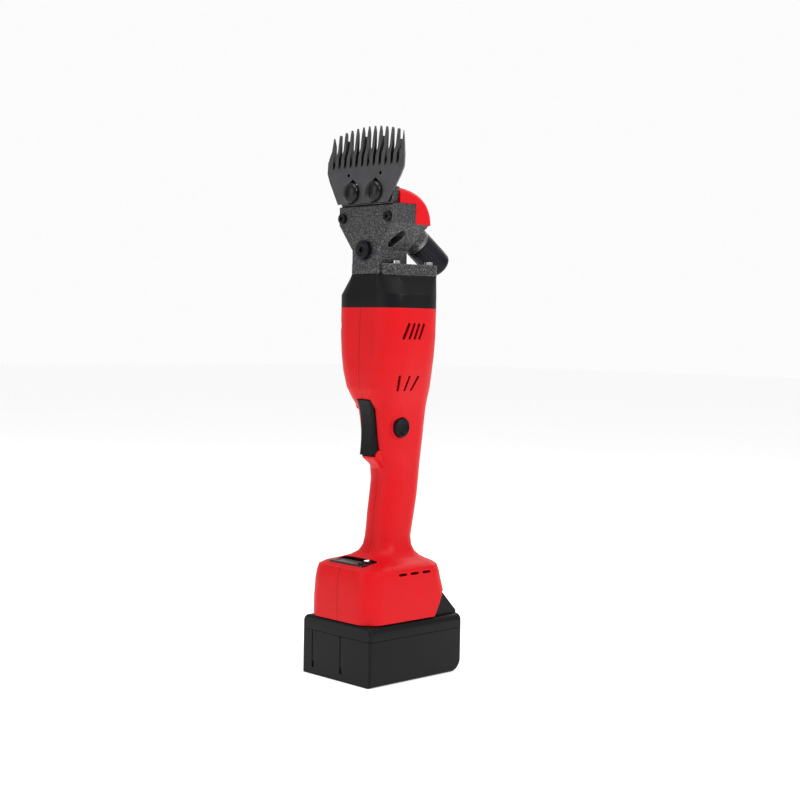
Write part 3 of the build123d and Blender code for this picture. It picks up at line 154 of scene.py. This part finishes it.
def bump(tree, height, distance, normal=None, strength=1.0):
    inputs = {"Height": height, "Distance": distance, "Strength": strength}
    if normal is not None:
        inputs["Normal"] = normal
    return add_node(tree, "ShaderNodeBump", inputs).outputs["Normal"]


def painted_cavity_shade(tree, reach, floor):
    """Painted shade: ambient occlusion used as a colour factor, 1 on open surfaces, down to floor in slots
    and seams narrower than the reach, where shade falls.
    """
    share = add_node(tree, "ShaderNodeAmbientOcclusion", {"Distance": reach}, samples=4).outputs["AO"]
    return ramp(tree, share, [(0.25, grey(floor)), (0.7, grey(1.0))])


def to_range(tree, value, low, high):
    node = add_node(tree, "ShaderNodeMapRange", {"Value": value, "To Min": low, "To Max": high})
    return node.outputs["Result"]


# ---------------------------------------------------------------- materials

def moulded_plastic(name, colour, roughness, grain=2400.0, depth=0.00002, edge=0.0006,
                    specular=0.16, wear=0.2, coat=0.0, mottle=0.06, seam=0.0):
    """Injection-moulded plastic: spark-eroded grain, slight mottling, edges polished by handling.
    A seam is the half width of the dark parting line in the plane X = 0."""
    material, tree, shader = new_material(name)
    coords = object_coords(tree)
    rounded = rounded_normal(tree, edge)
    large = noise(tree, coords, 45.0, 3.0)
    fine = noise(tree, coords, grain, 1.0)
    base = ramp(tree, large, [(0.3, tinted(colour, 1 - mottle)), (0.7, tinted(colour, 1 + mottle))])
    scuffs = ramp(tree, noise(tree, object_coords(tree, (1, 1, 0.25)), 500.0, 4.0, 0.65),
                  [(0.62, grey(0)), (0.74, grey(1))])
    edges = maths(tree, "MULTIPLY", edge_mask(tree, rounded), wear, clamp=True)
    worn = mix_colour(tree, edges, base, tinted(colour, 1.7))
    marked = mix_colour(tree, maths(tree, "MULTIPLY", scuffs, 0.05), worn, tinted(colour, 1.5))
    if seam:
        split = add_node(tree, "ShaderNodeSeparateXYZ", {"Vector": coords})
        across = maths(tree, "ABSOLUTE", split.outputs["X"])
        line = maths(tree, "LESS_THAN", across, seam)
        marked = mix_colour(tree, maths(tree, "MULTIPLY", line, 0.5), marked, tinted(colour, 0.2))
    # painted shade: slots and seams darkened by ambient occlusion in the base colour
    marked = mix_colour(tree, 1.0, marked, painted_cavity_shade(tree, 0.005, 0.12), "MULTIPLY")
    tree.links.new(marked, shader.inputs["Base Color"])
    rough = to_range(tree, large, roughness - 0.05, roughness + 0.06)
    tree.links.new(maths(tree, "SUBTRACT", rough, maths(tree, "MULTIPLY", edges, 0.25)),
                   shader.inputs["Roughness"])
    tree.links.new(bump(tree, fine, depth, rounded), shader.inputs["Normal"])
    shader.inputs["Specular IOR Level"].default_value = specular
    shader.inputs["Coat Weight"].default_value = coat
    shader.inputs["Coat Roughness"].default_value = 0.12
    return material


def hammertone(name, dark, light, fleck=1050.0, edge=0.0006):
    """Hammer-finish enamel on a casting: dark pools between bright metallic flecks of about a millimetre."""
    material, tree, shader = new_material(name)
    coords = object_coords(tree)
    rounded = rounded_normal(tree, edge)
    flecks = noise(tree, coords, fleck, 2.0, 0.75)
    ripple = noise(tree, coords, fleck * 0.55, 1.0, 0.5)
    mask = maths(tree, "MULTIPLY", ramp(tree, flecks, [(0.5, grey(0)), (0.585, grey(1))]),
                 ramp(tree, ripple, [(0.36, grey(0.35)), (0.56, grey(1))]), clamp=True)
    patches = noise(tree, coords, 90.0, 3.0, 0.6)
    tone = ramp(tree, patches, [(0.35, dark), (0.65, tinted(dark, 1.7))])
    colour = mix_colour(tree, mask, tone, light)
    wear = maths(tree, "MULTIPLY", edge_mask(tree, rounded, 7.0),
                 ramp(tree, noise(tree, coords, 420.0, 4.0, 0.7), [(0.42, grey(0.1)), (0.6, grey(0.8))]),
                 clamp=True)
    colour = mix_colour(tree, wear, colour, grey(0.3))
    # painted shade: recesses and seams darkened by ambient occlusion in the base colour
    colour = mix_colour(tree, 1.0, colour, painted_cavity_shade(tree, 0.004, 0.15), "MULTIPLY")
    tree.links.new(colour, shader.inputs["Base Color"])
    tree.links.new(maths(tree, "MULTIPLY", mask, 0.6), shader.inputs["Metallic"])
    tree.links.new(to_range(tree, mask, 0.5, 0.3), shader.inputs["Roughness"])
    tree.links.new(bump(tree, mask, 0.0001, rounded, 0.8), shader.inputs["Normal"])
    shader.inputs["Specular IOR Level"].default_value = 0.3
    return material


def worked_metal(name, colour, roughness, stretch=(1, 12, 12), lines=900.0, edge=0.0003,
                 edge_tone=1.5, stain=0.15, metallic=1.0):
    """Machined or ground metal: fine lines along one axis, brighter edges, faint staining."""
    material, tree, shader = new_material(name)
    coords = object_coords(tree)
    rounded = rounded_normal(tree, edge)
    grain = noise(tree, object_coords(tree, stretch), lines, 2.0, 0.6)
    cloud = noise(tree, coords, 90.0, 4.0, 0.6)
    base = ramp(tree, cloud, [(0.3, tinted(colour, 1 - stain)), (0.72, tinted(colour, 1 + stain))])
    base = mix_colour(tree, maths(tree, "MULTIPLY", grain, 0.35), base, tinted(colour, 0.7))
    edges = edge_mask(tree, rounded, 6.0)
    base = mix_colour(tree, edges, base, tinted(colour, edge_tone))
    # painted shade: gaps and recesses darkened by ambient occlusion in the base colour
    base = mix_colour(tree, 1.0, base, painted_cavity_shade(tree, 0.003, 0.25), "MULTIPLY")
    tree.links.new(base, shader.inputs["Base Color"])
    shader.inputs["Metallic"].default_value = metallic
    tree.links.new(to_range(tree, grain, roughness - 0.07, roughness + 0.09), shader.inputs["Roughness"])
    tree.links.new(bump(tree, grain, 0.000012, rounded), shader.inputs["Normal"])
    return material


def black_oxide(name, colour=(0.0025, 0.0025, 0.003), roughness=0.24):
    """Blackened steel, oiled and glossy, with a little steel showing at its sharpest edges."""
    material, tree, shader = new_material(name)
    coords = object_coords(tree)
    rounded = rounded_normal(tree, 0.0003)
    cloud = noise(tree, coords, 300.0, 3.0, 0.6)
    base = ramp(tree, cloud, [(0.3, tinted(colour, 0.7)), (0.75, tinted(colour, 1.8))])
    wear = maths(tree, "MULTIPLY", edge_mask(tree, rounded, 2.5),
                 ramp(tree, cloud, [(0.5, grey(0.0)), (0.7, grey(0.5))]), clamp=True)
    tree.links.new(mix_colour(tree, wear, base, grey(0.08)), shader.inputs["Base Color"])
    tree.links.new(to_range(tree, cloud, roughness - 0.05, roughness + 0.08), shader.inputs["Roughness"])
    tree.links.new(bump(tree, cloud, 0.00001, rounded), shader.inputs["Normal"])
    shader.inputs["Specular IOR Level"].default_value = 0.32
    return material


def wire_steel(name):
    return worked_metal(name, (0.45, 0.45, 0.46), 0.28, (1, 1, 1), 1500.0, 0.0001)


def circuit_board(name):
    """Green solder mask with lighter tracks."""
    material, tree, shader = new_material(name)
    coords = object_coords(tree)
    tracks = add_node(tree, "ShaderNodeTexBrick", {
        "Vector": coords, "Scale": 220.0, "Color1": (0.01, 0.12, 0.05, 1), "Color2": (0.012, 0.15, 0.06, 1),
        "Mortar": (0.03, 0.26, 0.11, 1), "Mortar Size": 0.03})
    tree.links.new(tracks.outputs["Color"], shader.inputs["Base Color"])
    rough = to_range(tree, noise(tree, coords, 800.0), 0.28, 0.42)
    tree.links.new(rough, shader.inputs["Roughness"])
    tree.links.new(bump(tree, tracks.outputs["Fac"], 0.00003, rounded_normal(tree, 0.0002)),
                   shader.inputs["Normal"])
    return material


def display_glass(name):
    """Reflective liquid-crystal window: grey-green ground with a row of dark level bars."""
    cells, bar_gap = 7, 0.3
    band_low, band_high = 0.28, 0.72
    material, tree, shader = new_material(name)
    coords = object_coords(tree)
    low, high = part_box("display_window")
    spread = add_node(tree, "ShaderNodeMapping", {"Vector": coords})
    spread.inputs["Location"].default_value = (-low.x, -low.y, 0)
    flat = add_node(tree, "ShaderNodeSeparateXYZ", {"Vector": spread.outputs["Vector"]})
    along = maths(tree, "DIVIDE", flat.outputs["X"], high.x - low.x)
    across = maths(tree, "DIVIDE", flat.outputs["Y"], high.y - low.y)
    stripes = maths(tree, "FRACT", maths(tree, "MULTIPLY", along, cells))
    bar = maths(tree, "GREATER_THAN", stripes, bar_gap)
    inside = maths(tree, "MULTIPLY", maths(tree, "GREATER_THAN", along, 1 / cells),
                   maths(tree, "LESS_THAN", along, 1 - 1 / cells))
    band = maths(tree, "MULTIPLY", maths(tree, "GREATER_THAN", across, band_low),
                 maths(tree, "LESS_THAN", across, band_high))
    mask = maths(tree, "MULTIPLY", bar, maths(tree, "MULTIPLY", inside, band))
    ground = ramp(tree, noise(tree, coords, 200.0),
                  [(0.3, (0.055, 0.075, 0.06)), (0.7, (0.08, 0.105, 0.085))])
    tree.links.new(mix_colour(tree, mask, ground, (0.012, 0.018, 0.016)), shader.inputs["Base Color"])
    tree.links.new(to_range(tree, noise(tree, coords, 600.0), 0.2, 0.28), shader.inputs["Roughness"])
    tree.links.new(rounded_normal(tree, 0.0002), shader.inputs["Normal"])
    shader.inputs["Specular IOR Level"].default_value = 0.25
    return material


# Colours are linear. Noise scales and the grain are per metre, and edges, bumps and seams in metres.
RED = (0.62, 0.004, 0.008)
BLACK = (0.0035, 0.0033, 0.0042)
slot_materials = {
    "red_shell": moulded_plastic("red_shell", RED, 0.42, wear=0.12, mottle=0.03, seam=0.00035),
    "black_plastic": moulded_plastic("black_plastic", BLACK, 0.42, wear=0.3, mottle=0.15),
    "knob_plastic": moulded_plastic("knob_plastic", (0.005, 0.005, 0.009), 0.34, wear=0.2),
    "panel_gloss": moulded_plastic("panel_gloss", (0.006, 0.006, 0.007), 0.24, depth=0.000004,
                                   edge=0.0003, specular=0.25, wear=0.1),
    "panel_window": display_glass("panel_window"),
    "button_rubber": moulded_plastic("button_rubber", (0.02, 0.02, 0.022), 0.62, 3200.0, 0.00003, 0.0004),
    "hammertone": hammertone("hammertone", (0.014, 0.014, 0.015), (0.17, 0.17, 0.175)),
    "comb_steel": worked_metal("comb_steel", (0.125, 0.121, 0.126), 0.4, (1, 10, 10), 700.0, 0.00025, 1.3),
    "cutter_steel": worked_metal("cutter_steel", (0.08, 0.08, 0.082), 0.42, (1, 10, 10), 800.0, 0.00025),
    "black_oxide_steel": black_oxide("black_oxide_steel"),
    "bright_steel": worked_metal("bright_steel", (0.62, 0.62, 0.63), 0.2, (1, 1, 8), 900.0, 0.0003, 1.3),
    "spring_steel": wire_steel("spring_steel"),
    "forged_steel": worked_metal("forged_steel", (0.26, 0.255, 0.25), 0.45, (1, 1, 1), 500.0, 0.0005),
    "aluminium_part": worked_metal("aluminium_part", (0.2, 0.2, 0.205), 0.4, (8, 8, 1), 600.0, 0.0004, 1.2),
    "motor_steel": worked_metal("motor_steel", (0.5, 0.5, 0.5), 0.3, (1, 1, 10), 500.0, 0.0004),
    "magnet": worked_metal("magnet", (0.06, 0.06, 0.062), 0.5, (1, 1, 1), 900.0, 0.0004, 1.4, 0.2, 0.2),
    "fan_plastic": moulded_plastic("fan_plastic", (0.55, 0.54, 0.49), 0.45),
    "brass_part": worked_metal("brass_part", (0.62, 0.42, 0.16), 0.28, (1, 1, 8), 900.0, 0.0003, 1.2),
    "circuit_board": circuit_board("circuit_board"),
    "cell_wrap": moulded_plastic("cell_wrap", (0.02, 0.14, 0.30), 0.28, coat=0.3),
}
for row in frame["record"]["subparts"]:
    for material_slot in nodes[row["node"]].material_slots:
        material_slot.material = slot_materials[row["material_slot"]]


# ---------------------------------------------------------------- CAD surfaces shown smooth

WELD = 0.000004             # corners closer than this are one
SHARP = math.radians(32)    # edges sharper than this stay sharp


def smooth_by_angle(limit):
    """Geometry nodes that shade a mesh smooth, but for edges sharper than the limit."""
    group = bpy.data.node_groups.new("smooth_by_angle", "GeometryNodeTree")
    group.interface.new_socket("Geometry", in_out="INPUT", socket_type="NodeSocketGeometry")
    group.interface.new_socket("Geometry", in_out="OUTPUT", socket_type="NodeSocketGeometry")
    source = group.nodes.new("NodeGroupInput")
    sink = group.nodes.new("NodeGroupOutput")
    weld = group.nodes.new("GeometryNodeMergeByDistance")
    weld.inputs["Distance"].default_value = WELD
    faces = group.nodes.new("GeometryNodeSetShadeSmooth")
    faces.domain = "FACE"
    edges = group.nodes.new("GeometryNodeSetShadeSmooth")
    edges.domain = "EDGE"
    edges.inputs["Shade Smooth"].default_value = False
    angle = group.nodes.new("GeometryNodeInputMeshEdgeAngle")
    sharp = group.nodes.new("FunctionNodeCompare")
    sharp.data_type = "FLOAT"
    sharp.operation = "GREATER_THAN"
    sharp.inputs[1].default_value = limit
    link = group.links.new
    link(source.outputs[0], weld.inputs["Geometry"])
    link(weld.outputs["Geometry"], faces.inputs["Geometry"])
    link(faces.outputs["Geometry"], edges.inputs["Geometry"])
    link(angle.outputs["Unsigned Angle"], sharp.inputs[0])
    link(sharp.outputs["Result"], edges.inputs["Selection"])
    link(edges.outputs["Geometry"], sink.inputs[0])
    return group


smoothing = smooth_by_angle(SHARP)
for cad_node in nodes.values():
    cad_node.modifiers.new("smooth", "NODES").node_group = smoothing


# ---------------------------------------------------------------- pieces made in mesh code

def tool_axes(origin, x_axis, z_axis):
    """Matrix of a local frame, with its origin in millimetres of the CAD frame."""
    z_axis = Vector(z_axis).normalized()
    x_axis = Vector(x_axis).normalized()
    y_axis = z_axis.cross(x_axis)
    columns = (x_axis, y_axis, z_axis, Vector(origin) * MM)
    return Matrix([[column[row] for column in columns] for row in range(3)] + [[0, 0, 0, 1]])


def new_piece(name, mesh, material, body, *replaced):
    """An object that rides on a body and stands in for the CAD nodes that it replaces."""
    piece = bpy.data.objects.new(name, mesh)
    bpy.context.collection.objects.link(piece)
    mesh.materials.clear()
    mesh.materials.append(slot_materials[material])
    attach(piece, body)
    if replaced:
        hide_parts(*replaced)
    return piece


def turned(bm, profile, segments, place, ripple=None):
    """Adds a turned solid. profile is (radius, height) in millimetres, from the axis to the axis.
    ripple(radius, height, angle) is how far the surface sinks there."""
    rings = []
    for radius, height in profile:
        if radius == 0:
            rings.append([bm.verts.new(place @ (Vector((0, 0, height)) * MM))])
            continue
        ring = []
        for step in range(segments):
            angle = 2 * math.pi * step / segments
            reach = radius - (ripple(radius, height, angle) if ripple else 0.0)
            spot = Vector((reach * math.cos(angle), reach * math.sin(angle), height))
            ring.append(bm.verts.new(place @ (spot * MM)))
        rings.append(ring)
    for low, high in zip(rings, rings[1:]):
        for step in range(segments):
            following = (step + 1) % segments
            if len(low) == 1:
                bm.faces.new((low[0], high[following], high[step]))
            elif len(high) == 1:
                bm.faces.new((low[step], low[following], high[0]))
            else:
                bm.faces.new((low[step], low[following], high[following], high[step]))


def finish_mesh(bm, name, smooth=True):
    """The mesh with its normals outwards. The bmesh is freed."""
    bmesh.ops.recalc_face_normals(bm, faces=bm.faces)
    mesh = bpy.data.meshes.new(name)
    bm.to_mesh(mesh)
    bm.free()
    for face in mesh.polygons:
        face.use_smooth = smooth
    return mesh


def block(bm, place, low, high):
    """Adds a box between two corners in millimetres, for a cut."""
    made = bmesh.ops.create_cube(bm, size=1.0)
    size = Vector(high) - Vector(low)
    middle = (Vector(high) + Vector(low)) / 2
    for vertex in made["verts"]:
        spot = Vector([c * s + m for c, s, m in zip(vertex.co, size, middle)])
        vertex.co = place @ (spot * MM)


def carved(mesh, cut_mesh, name):
    """The mesh with another cut out of it."""
    body = bpy.data.objects.new(name, mesh)
    knife = bpy.data.objects.new("knife", cut_mesh)
    for made in (body, knife):
        bpy.context.collection.objects.link(made)
    cut = body.modifiers.new("cut", "BOOLEAN")
    cut.object = knife
    cut.operation = "DIFFERENCE"
    cut.solver = "EXACT"
    graph = bpy.context.evaluated_depsgraph_get()
    result = bpy.data.meshes.new_from_object(body.evaluated_get(graph))
    bpy.data.objects.remove(knife)
    bpy.data.objects.remove(body)
    return result


def softened(piece, width):
    """Rounds a piece's sharp edges to a width in millimetres."""
    rounding = piece.modifiers.new("rounding", "BEVEL")
    rounding.width = width * MM
    rounding.segments = 2
    rounding.limit_method = "ANGLE"
    rounding.angle_limit = math.radians(35)
    piece.modifiers.new("smooth", "NODES").node_group = smoothing


# The comb's plane leans back by TILT. U runs along X, V up the comb and OUT away from its skin side.
TILT = math.radians(4.0)
COMB_UP = Vector((0, math.sin(TILT), math.cos(TILT)))
COMB_OUT = Vector((0, -math.cos(TILT), math.sin(TILT)))
COMB_ORIGIN = Vector((0, -25.0, 350.0))

# comb screws: low domes with a shallow slot and a ring of fine grip ribs
SCREW_U, SCREW_V, SCREW_R = 11.65, -11.4, 7.5
SHANK_R, SHANK_END, HEAD_FOOT, DOME_TOP = 2.45, -9.0, 0.02, 4.58
SLOT_HALF, SLOT_FLOOR, SLOT_REACH = 0.5, 3.7, 9.0
RIB_COUNT, RIB_DEPTH = 24, 0.16


def grip_ribs(radius, height, angle):
    return RIB_DEPTH * (0.5 + 0.5 * math.cos(RIB_COUNT * angle)) if 0.4 < height < 2.4 else 0.0


dome_profile = [
    (0, SHANK_END), (SHANK_R, SHANK_END), (SHANK_R, HEAD_FOOT), (SCREW_R - 0.3, HEAD_FOOT),
    (SCREW_R, 0.3), (SCREW_R, 0.5), (SCREW_R - 0.05, 1.2), (SCREW_R - 0.25, 1.8), (SCREW_R - 0.7, 2.5),
    (SCREW_R - 1.5, 3.2), (SCREW_R - 2.6, 3.8), (SCREW_R - 4.0, 4.25), (SCREW_R - 5.6, 4.5), (0, DOME_TOP)]
domes, slots = bmesh.new(), bmesh.new()
for side in (-1, 1):
    foot = COMB_ORIGIN + Vector((side * SCREW_U, 0, 0)) + COMB_UP * SCREW_V
    seat = tool_axes(foot, (1, 0, 0), COMB_OUT)
    turned(domes, dome_profile, 96, seat, grip_ribs)
    block(slots, seat, (-SLOT_HALF, -SLOT_REACH, SLOT_FLOOR), (SLOT_HALF, SLOT_REACH, 6))
screw_mesh = carved(finish_mesh(domes, "domes"), finish_mesh(slots, "slots", False), "comb_screw_heads")
softened(new_piece("comb_screw_heads", screw_mesh, "black_oxide_steel", "housing", "comb_screws"), 0.12)

# tension knob: fluted grip, rounded end with a shallow ring
KNOB_SEAT = Vector((0, 24.9, 308.3))
KNOB_SLOPE = math.radians(35.0)
KNOB_R, KNOB_START, KNOB_END = 10.4, 3.0, 31.0
SOCKET_R, SOCKET_END = 7.05, 19.2
FLUTE_COUNT, FLUTE_DEPTH, FLUTE_START, FLUTE_END, FLUTE_FADE = 18, 0.42, 4.0, 23.5, 1.5
knob_axes = tool_axes(KNOB_SEAT, (1, 0, 0), (0, math.cos(KNOB_SLOPE), -math.sin(KNOB_SLOPE)))


def flutes(radius, height, angle):
    """Grooves along the grip that fade out towards both ends."""
    if radius <= KNOB_R - 0.3:
        return 0.0
    fade_in = min(1.0, max(0.0, (height - FLUTE_START) / FLUTE_FADE))
    fade_out = min(1.0, max(0.0, (FLUTE_END - height) / FLUTE_FADE))
    return FLUTE_DEPTH * (fade_in * fade_out) * max(0.0, math.cos(FLUTE_COUNT * angle)) ** 2


knob = bmesh.new()
grip_heights = [3.5, 4.0, 4.6, 5.4, 7, 10, 13, 16, 19, 21, 22.1, 22.9, 23.6, 24.6]
end_steps = [                                    # (in from the grip, down from the end)
    (0, 3.7), (0.15, 2.5), (0.6, 1.5), (1.4, 0.7), (2.4, 0.2), (3.2, 0),
    (3.5, 0.05), (3.8, 0.3), (4.2, 0.35), (4.6, 0.25)]
turned(knob, [
    (0, SOCKET_END), (SOCKET_R, SOCKET_END), (SOCKET_R, KNOB_START), (KNOB_R - 0.5, KNOB_START),
    *[(KNOB_R, height) for height in grip_heights],
    *[(KNOB_R - inset, KNOB_END - drop) for inset, drop in end_steps],
    (3.0, KNOB_END - 0.15), (0, KNOB_END - 0.1)], 144, knob_axes, flutes)
new_piece("tension_knob_grip", finish_mesh(knob, "knob"), "knob_plastic", "tension_knob", "tension_knob")

# cap of the fork's pivot post: knurled rim, dished face with a socket
PIVOT = COMB_ORIGIN + COMB_UP * -51.0
KNURL_COUNT, KNURL_DEPTH = 20, 0.35
cap_axes = tool_axes(PIVOT, (1, 0, 0), COMB_OUT)


def knurl(radius, height, angle):
    on_rim = radius > 6.0 and -4.7 < height < -2.1
    return KNURL_DEPTH * max(0.0, math.cos(KNURL_COUNT * angle)) if on_rim else 0.0


cap, socket = bmesh.new(), bmesh.new()
turned(cap, [(0, -5.0), (6.5, -5.0), (6.7, -4.8), (6.7, -4.5), (6.7, -3.4), (6.7, -2.5), (6.55, -2.1),
             (6.2, -1.85), (5.3, -1.6), (4.9, -1.3), (4.6, -1.2), (4.2, -1.25), (3.4, -1.7), (0, -2.0)],
       160, cap_axes, knurl)
turned(socket, [(0, -3.6), (2.3, -3.6), (2.3, 1.0), (0, 1.0)], 6, cap_axes)
cap_mesh = carved(finish_mesh(cap, "cap"), finish_mesh(socket, "socket", False), "pivot_cap")
softened(new_piece("pivot_cap", cap_mesh, "knob_plastic", "housing", "fulcrum_cap"), 0.1)

# lock button: raised rim round a shallow dish
LOCK_Y, LOCK_Z, LOCK_R, LOCK_FACE = -2.0, 175.6, 6.8, 19.6
FLANGE_R, FLANGE_LOW, FLANGE_HIGH = LOCK_R + 0.6, 7.6, 8.8
lock_axes = tool_axes((0, LOCK_Y, LOCK_Z), (0, 1, 0), (1, 0, 0))
lock = bmesh.new()
rim_steps = [                                    # (in from the side, down from the face)
    (0, 1.0), (0.1, 0.5), (0.35, 0.2), (0.7, 0), (1.3, 0), (1.6, 0.2), (1.8, 0.7), (2.2, 0.9), (3.4, 1.1)]
turned(lock, [
    (0, FLANGE_LOW), (FLANGE_R, FLANGE_LOW), (FLANGE_R, FLANGE_HIGH), (LOCK_R, FLANGE_HIGH), (LOCK_R, 14.0),
    *[(LOCK_R - inset, LOCK_FACE - drop) for inset, drop in rim_steps],
    (1.6, LOCK_FACE - 1.2), (0, LOCK_FACE - 1.25)], 96, lock_axes)
new_piece("lock_button_cap", finish_mesh(lock, "lock"), "black_plastic", "lock_button", "lock_button")


# ---------------------------------------------------------------- floor, camera and lights

SURROUND, BACKDROP = 0.5, 0.97      # greys of the light all round and of the backdrop
FLOOR_GLOW = 0.5
FLOOR_HALF, FLOOR_DROP = 8.0, 0.0002
floor_material, floor_tree, floor_shader = new_material("studio_floor")
floor_cloud = noise(floor_tree, object_coords(floor_tree), 3.0)
floor_tree.links.new(ramp(floor_tree, floor_cloud, [(0.3, grey(0.86)), (0.7, grey(0.88))]),
                     floor_shader.inputs["Base Color"])
floor_shader.inputs["Roughness"].default_value = 0.6
floor_shader.inputs["Emission Color"].default_value = (*grey(1.0), 1.0)
floor_shader.inputs["Emission Strength"].default_value = FLOOR_GLOW
floor_mesh = bpy.data.meshes.new("floor")
floor_corners = [(-1, -1), (1, -1), (1, 1), (-1, 1)]
floor_mesh.from_pydata(
    [(x * FLOOR_HALF, y * FLOOR_HALF, cad_low.z - FLOOR_DROP) for x, y in floor_corners],
    [], [(0, 1, 2, 3)])
floor_mesh.materials.append(floor_material)
floor = bpy.data.objects.new("floor", floor_mesh)
bpy.context.collection.objects.link(floor)


def towards(azimuth, elevation):
    """Unit vector at an azimuth from -Y towards +X, and an elevation, both in degrees."""
    a, e = math.radians(azimuth), math.radians(elevation)
    return Vector((math.sin(a) * math.cos(e), -math.cos(a) * math.cos(e), math.sin(e)))


AZIMUTH, ELEVATION, ROLL = 46.0, 2.55, math.radians(1.0)
LENS, DISTANCE, AIM_HEIGHT, AIM_RIGHT = 65.25, 1.030, 0.1942, 0.0096
back = towards(AZIMUTH, ELEVATION)
level = Vector((math.cos(math.radians(AZIMUTH)), math.sin(math.radians(AZIMUTH)), 0))
upright = back.cross(level)
camera_x = level * math.cos(ROLL) + upright * math.sin(ROLL)
camera_y = upright * math.cos(ROLL) - level * math.sin(ROLL)
camera_data = bpy.data.cameras.new("camera")
camera_data.lens = LENS
camera_data.clip_start, camera_data.clip_end = 0.05, 60
camera = bpy.data.objects.new("camera", camera_data)
bpy.context.collection.objects.link(camera)
spot = level * AIM_RIGHT + Vector((0, 0, AIM_HEIGHT)) + back * DISTANCE
camera.matrix_world = Matrix((
    (camera_x.x, camera_y.x, back.x, spot.x),
    (camera_x.y, camera_y.y, back.y, spot.y),
    (camera_x.z, camera_y.z, back.z, spot.z),
    (0, 0, 0, 1),
))
bpy.context.scene.camera = camera


def softbox(name, azimuth, elevation, distance, wide, tall, power):
    """Area light aimed at the middle of the object."""
    light = bpy.data.lights.new(name, "AREA")
    light.shape = "RECTANGLE"
    light.size, light.size_y = wide, tall
    light.energy = power
    lamp = bpy.data.objects.new(name, light)
    bpy.context.collection.objects.link(lamp)
    direction = towards(azimuth, elevation)
    lamp.location = Vector((0, 0, 0.2)) + direction * distance
    lamp.rotation_mode = "QUATERNION"
    lamp.rotation_quaternion = direction.to_track_quat("Z", "Y")


softbox("key", azimuth=95, elevation=38, distance=1.4, wide=0.6, tall=0.6, power=8.5)
softbox("fill", azimuth=-10, elevation=20, distance=1.6, wide=0.7, tall=1.2, power=4.5)
softbox("top", azimuth=40, elevation=80, distance=1.3, wide=0.8, tall=0.8, power=7.0)
softbox("rim", azimuth=200, elevation=30, distance=1.5, wide=0.8, tall=0.8, power=3.0)

# The backdrop looks white, but lights the object with a softer grey.
world = bpy.data.worlds.new("studio")
bpy.context.scene.world = world
world.use_nodes = True
sky = world.node_tree
lit = sky.nodes["Background"]
lit.inputs["Color"].default_value = (*grey(SURROUND), 1.0)
seen = add_node(sky, "ShaderNodeBackground", {"Color": (*grey(BACKDROP), 1.0)})
rays = add_node(sky, "ShaderNodeLightPath")
blend = add_node(sky, "ShaderNodeMixShader", {
    0: rays.outputs["Is Camera Ray"], 1: lit.outputs["Background"], 2: seen.outputs["Background"]})
sky.links.new(blend.outputs["Shader"], sky.nodes["World Output"].inputs["Surface"])
bpy.context.scene.view_settings.view_transform = "Standard"
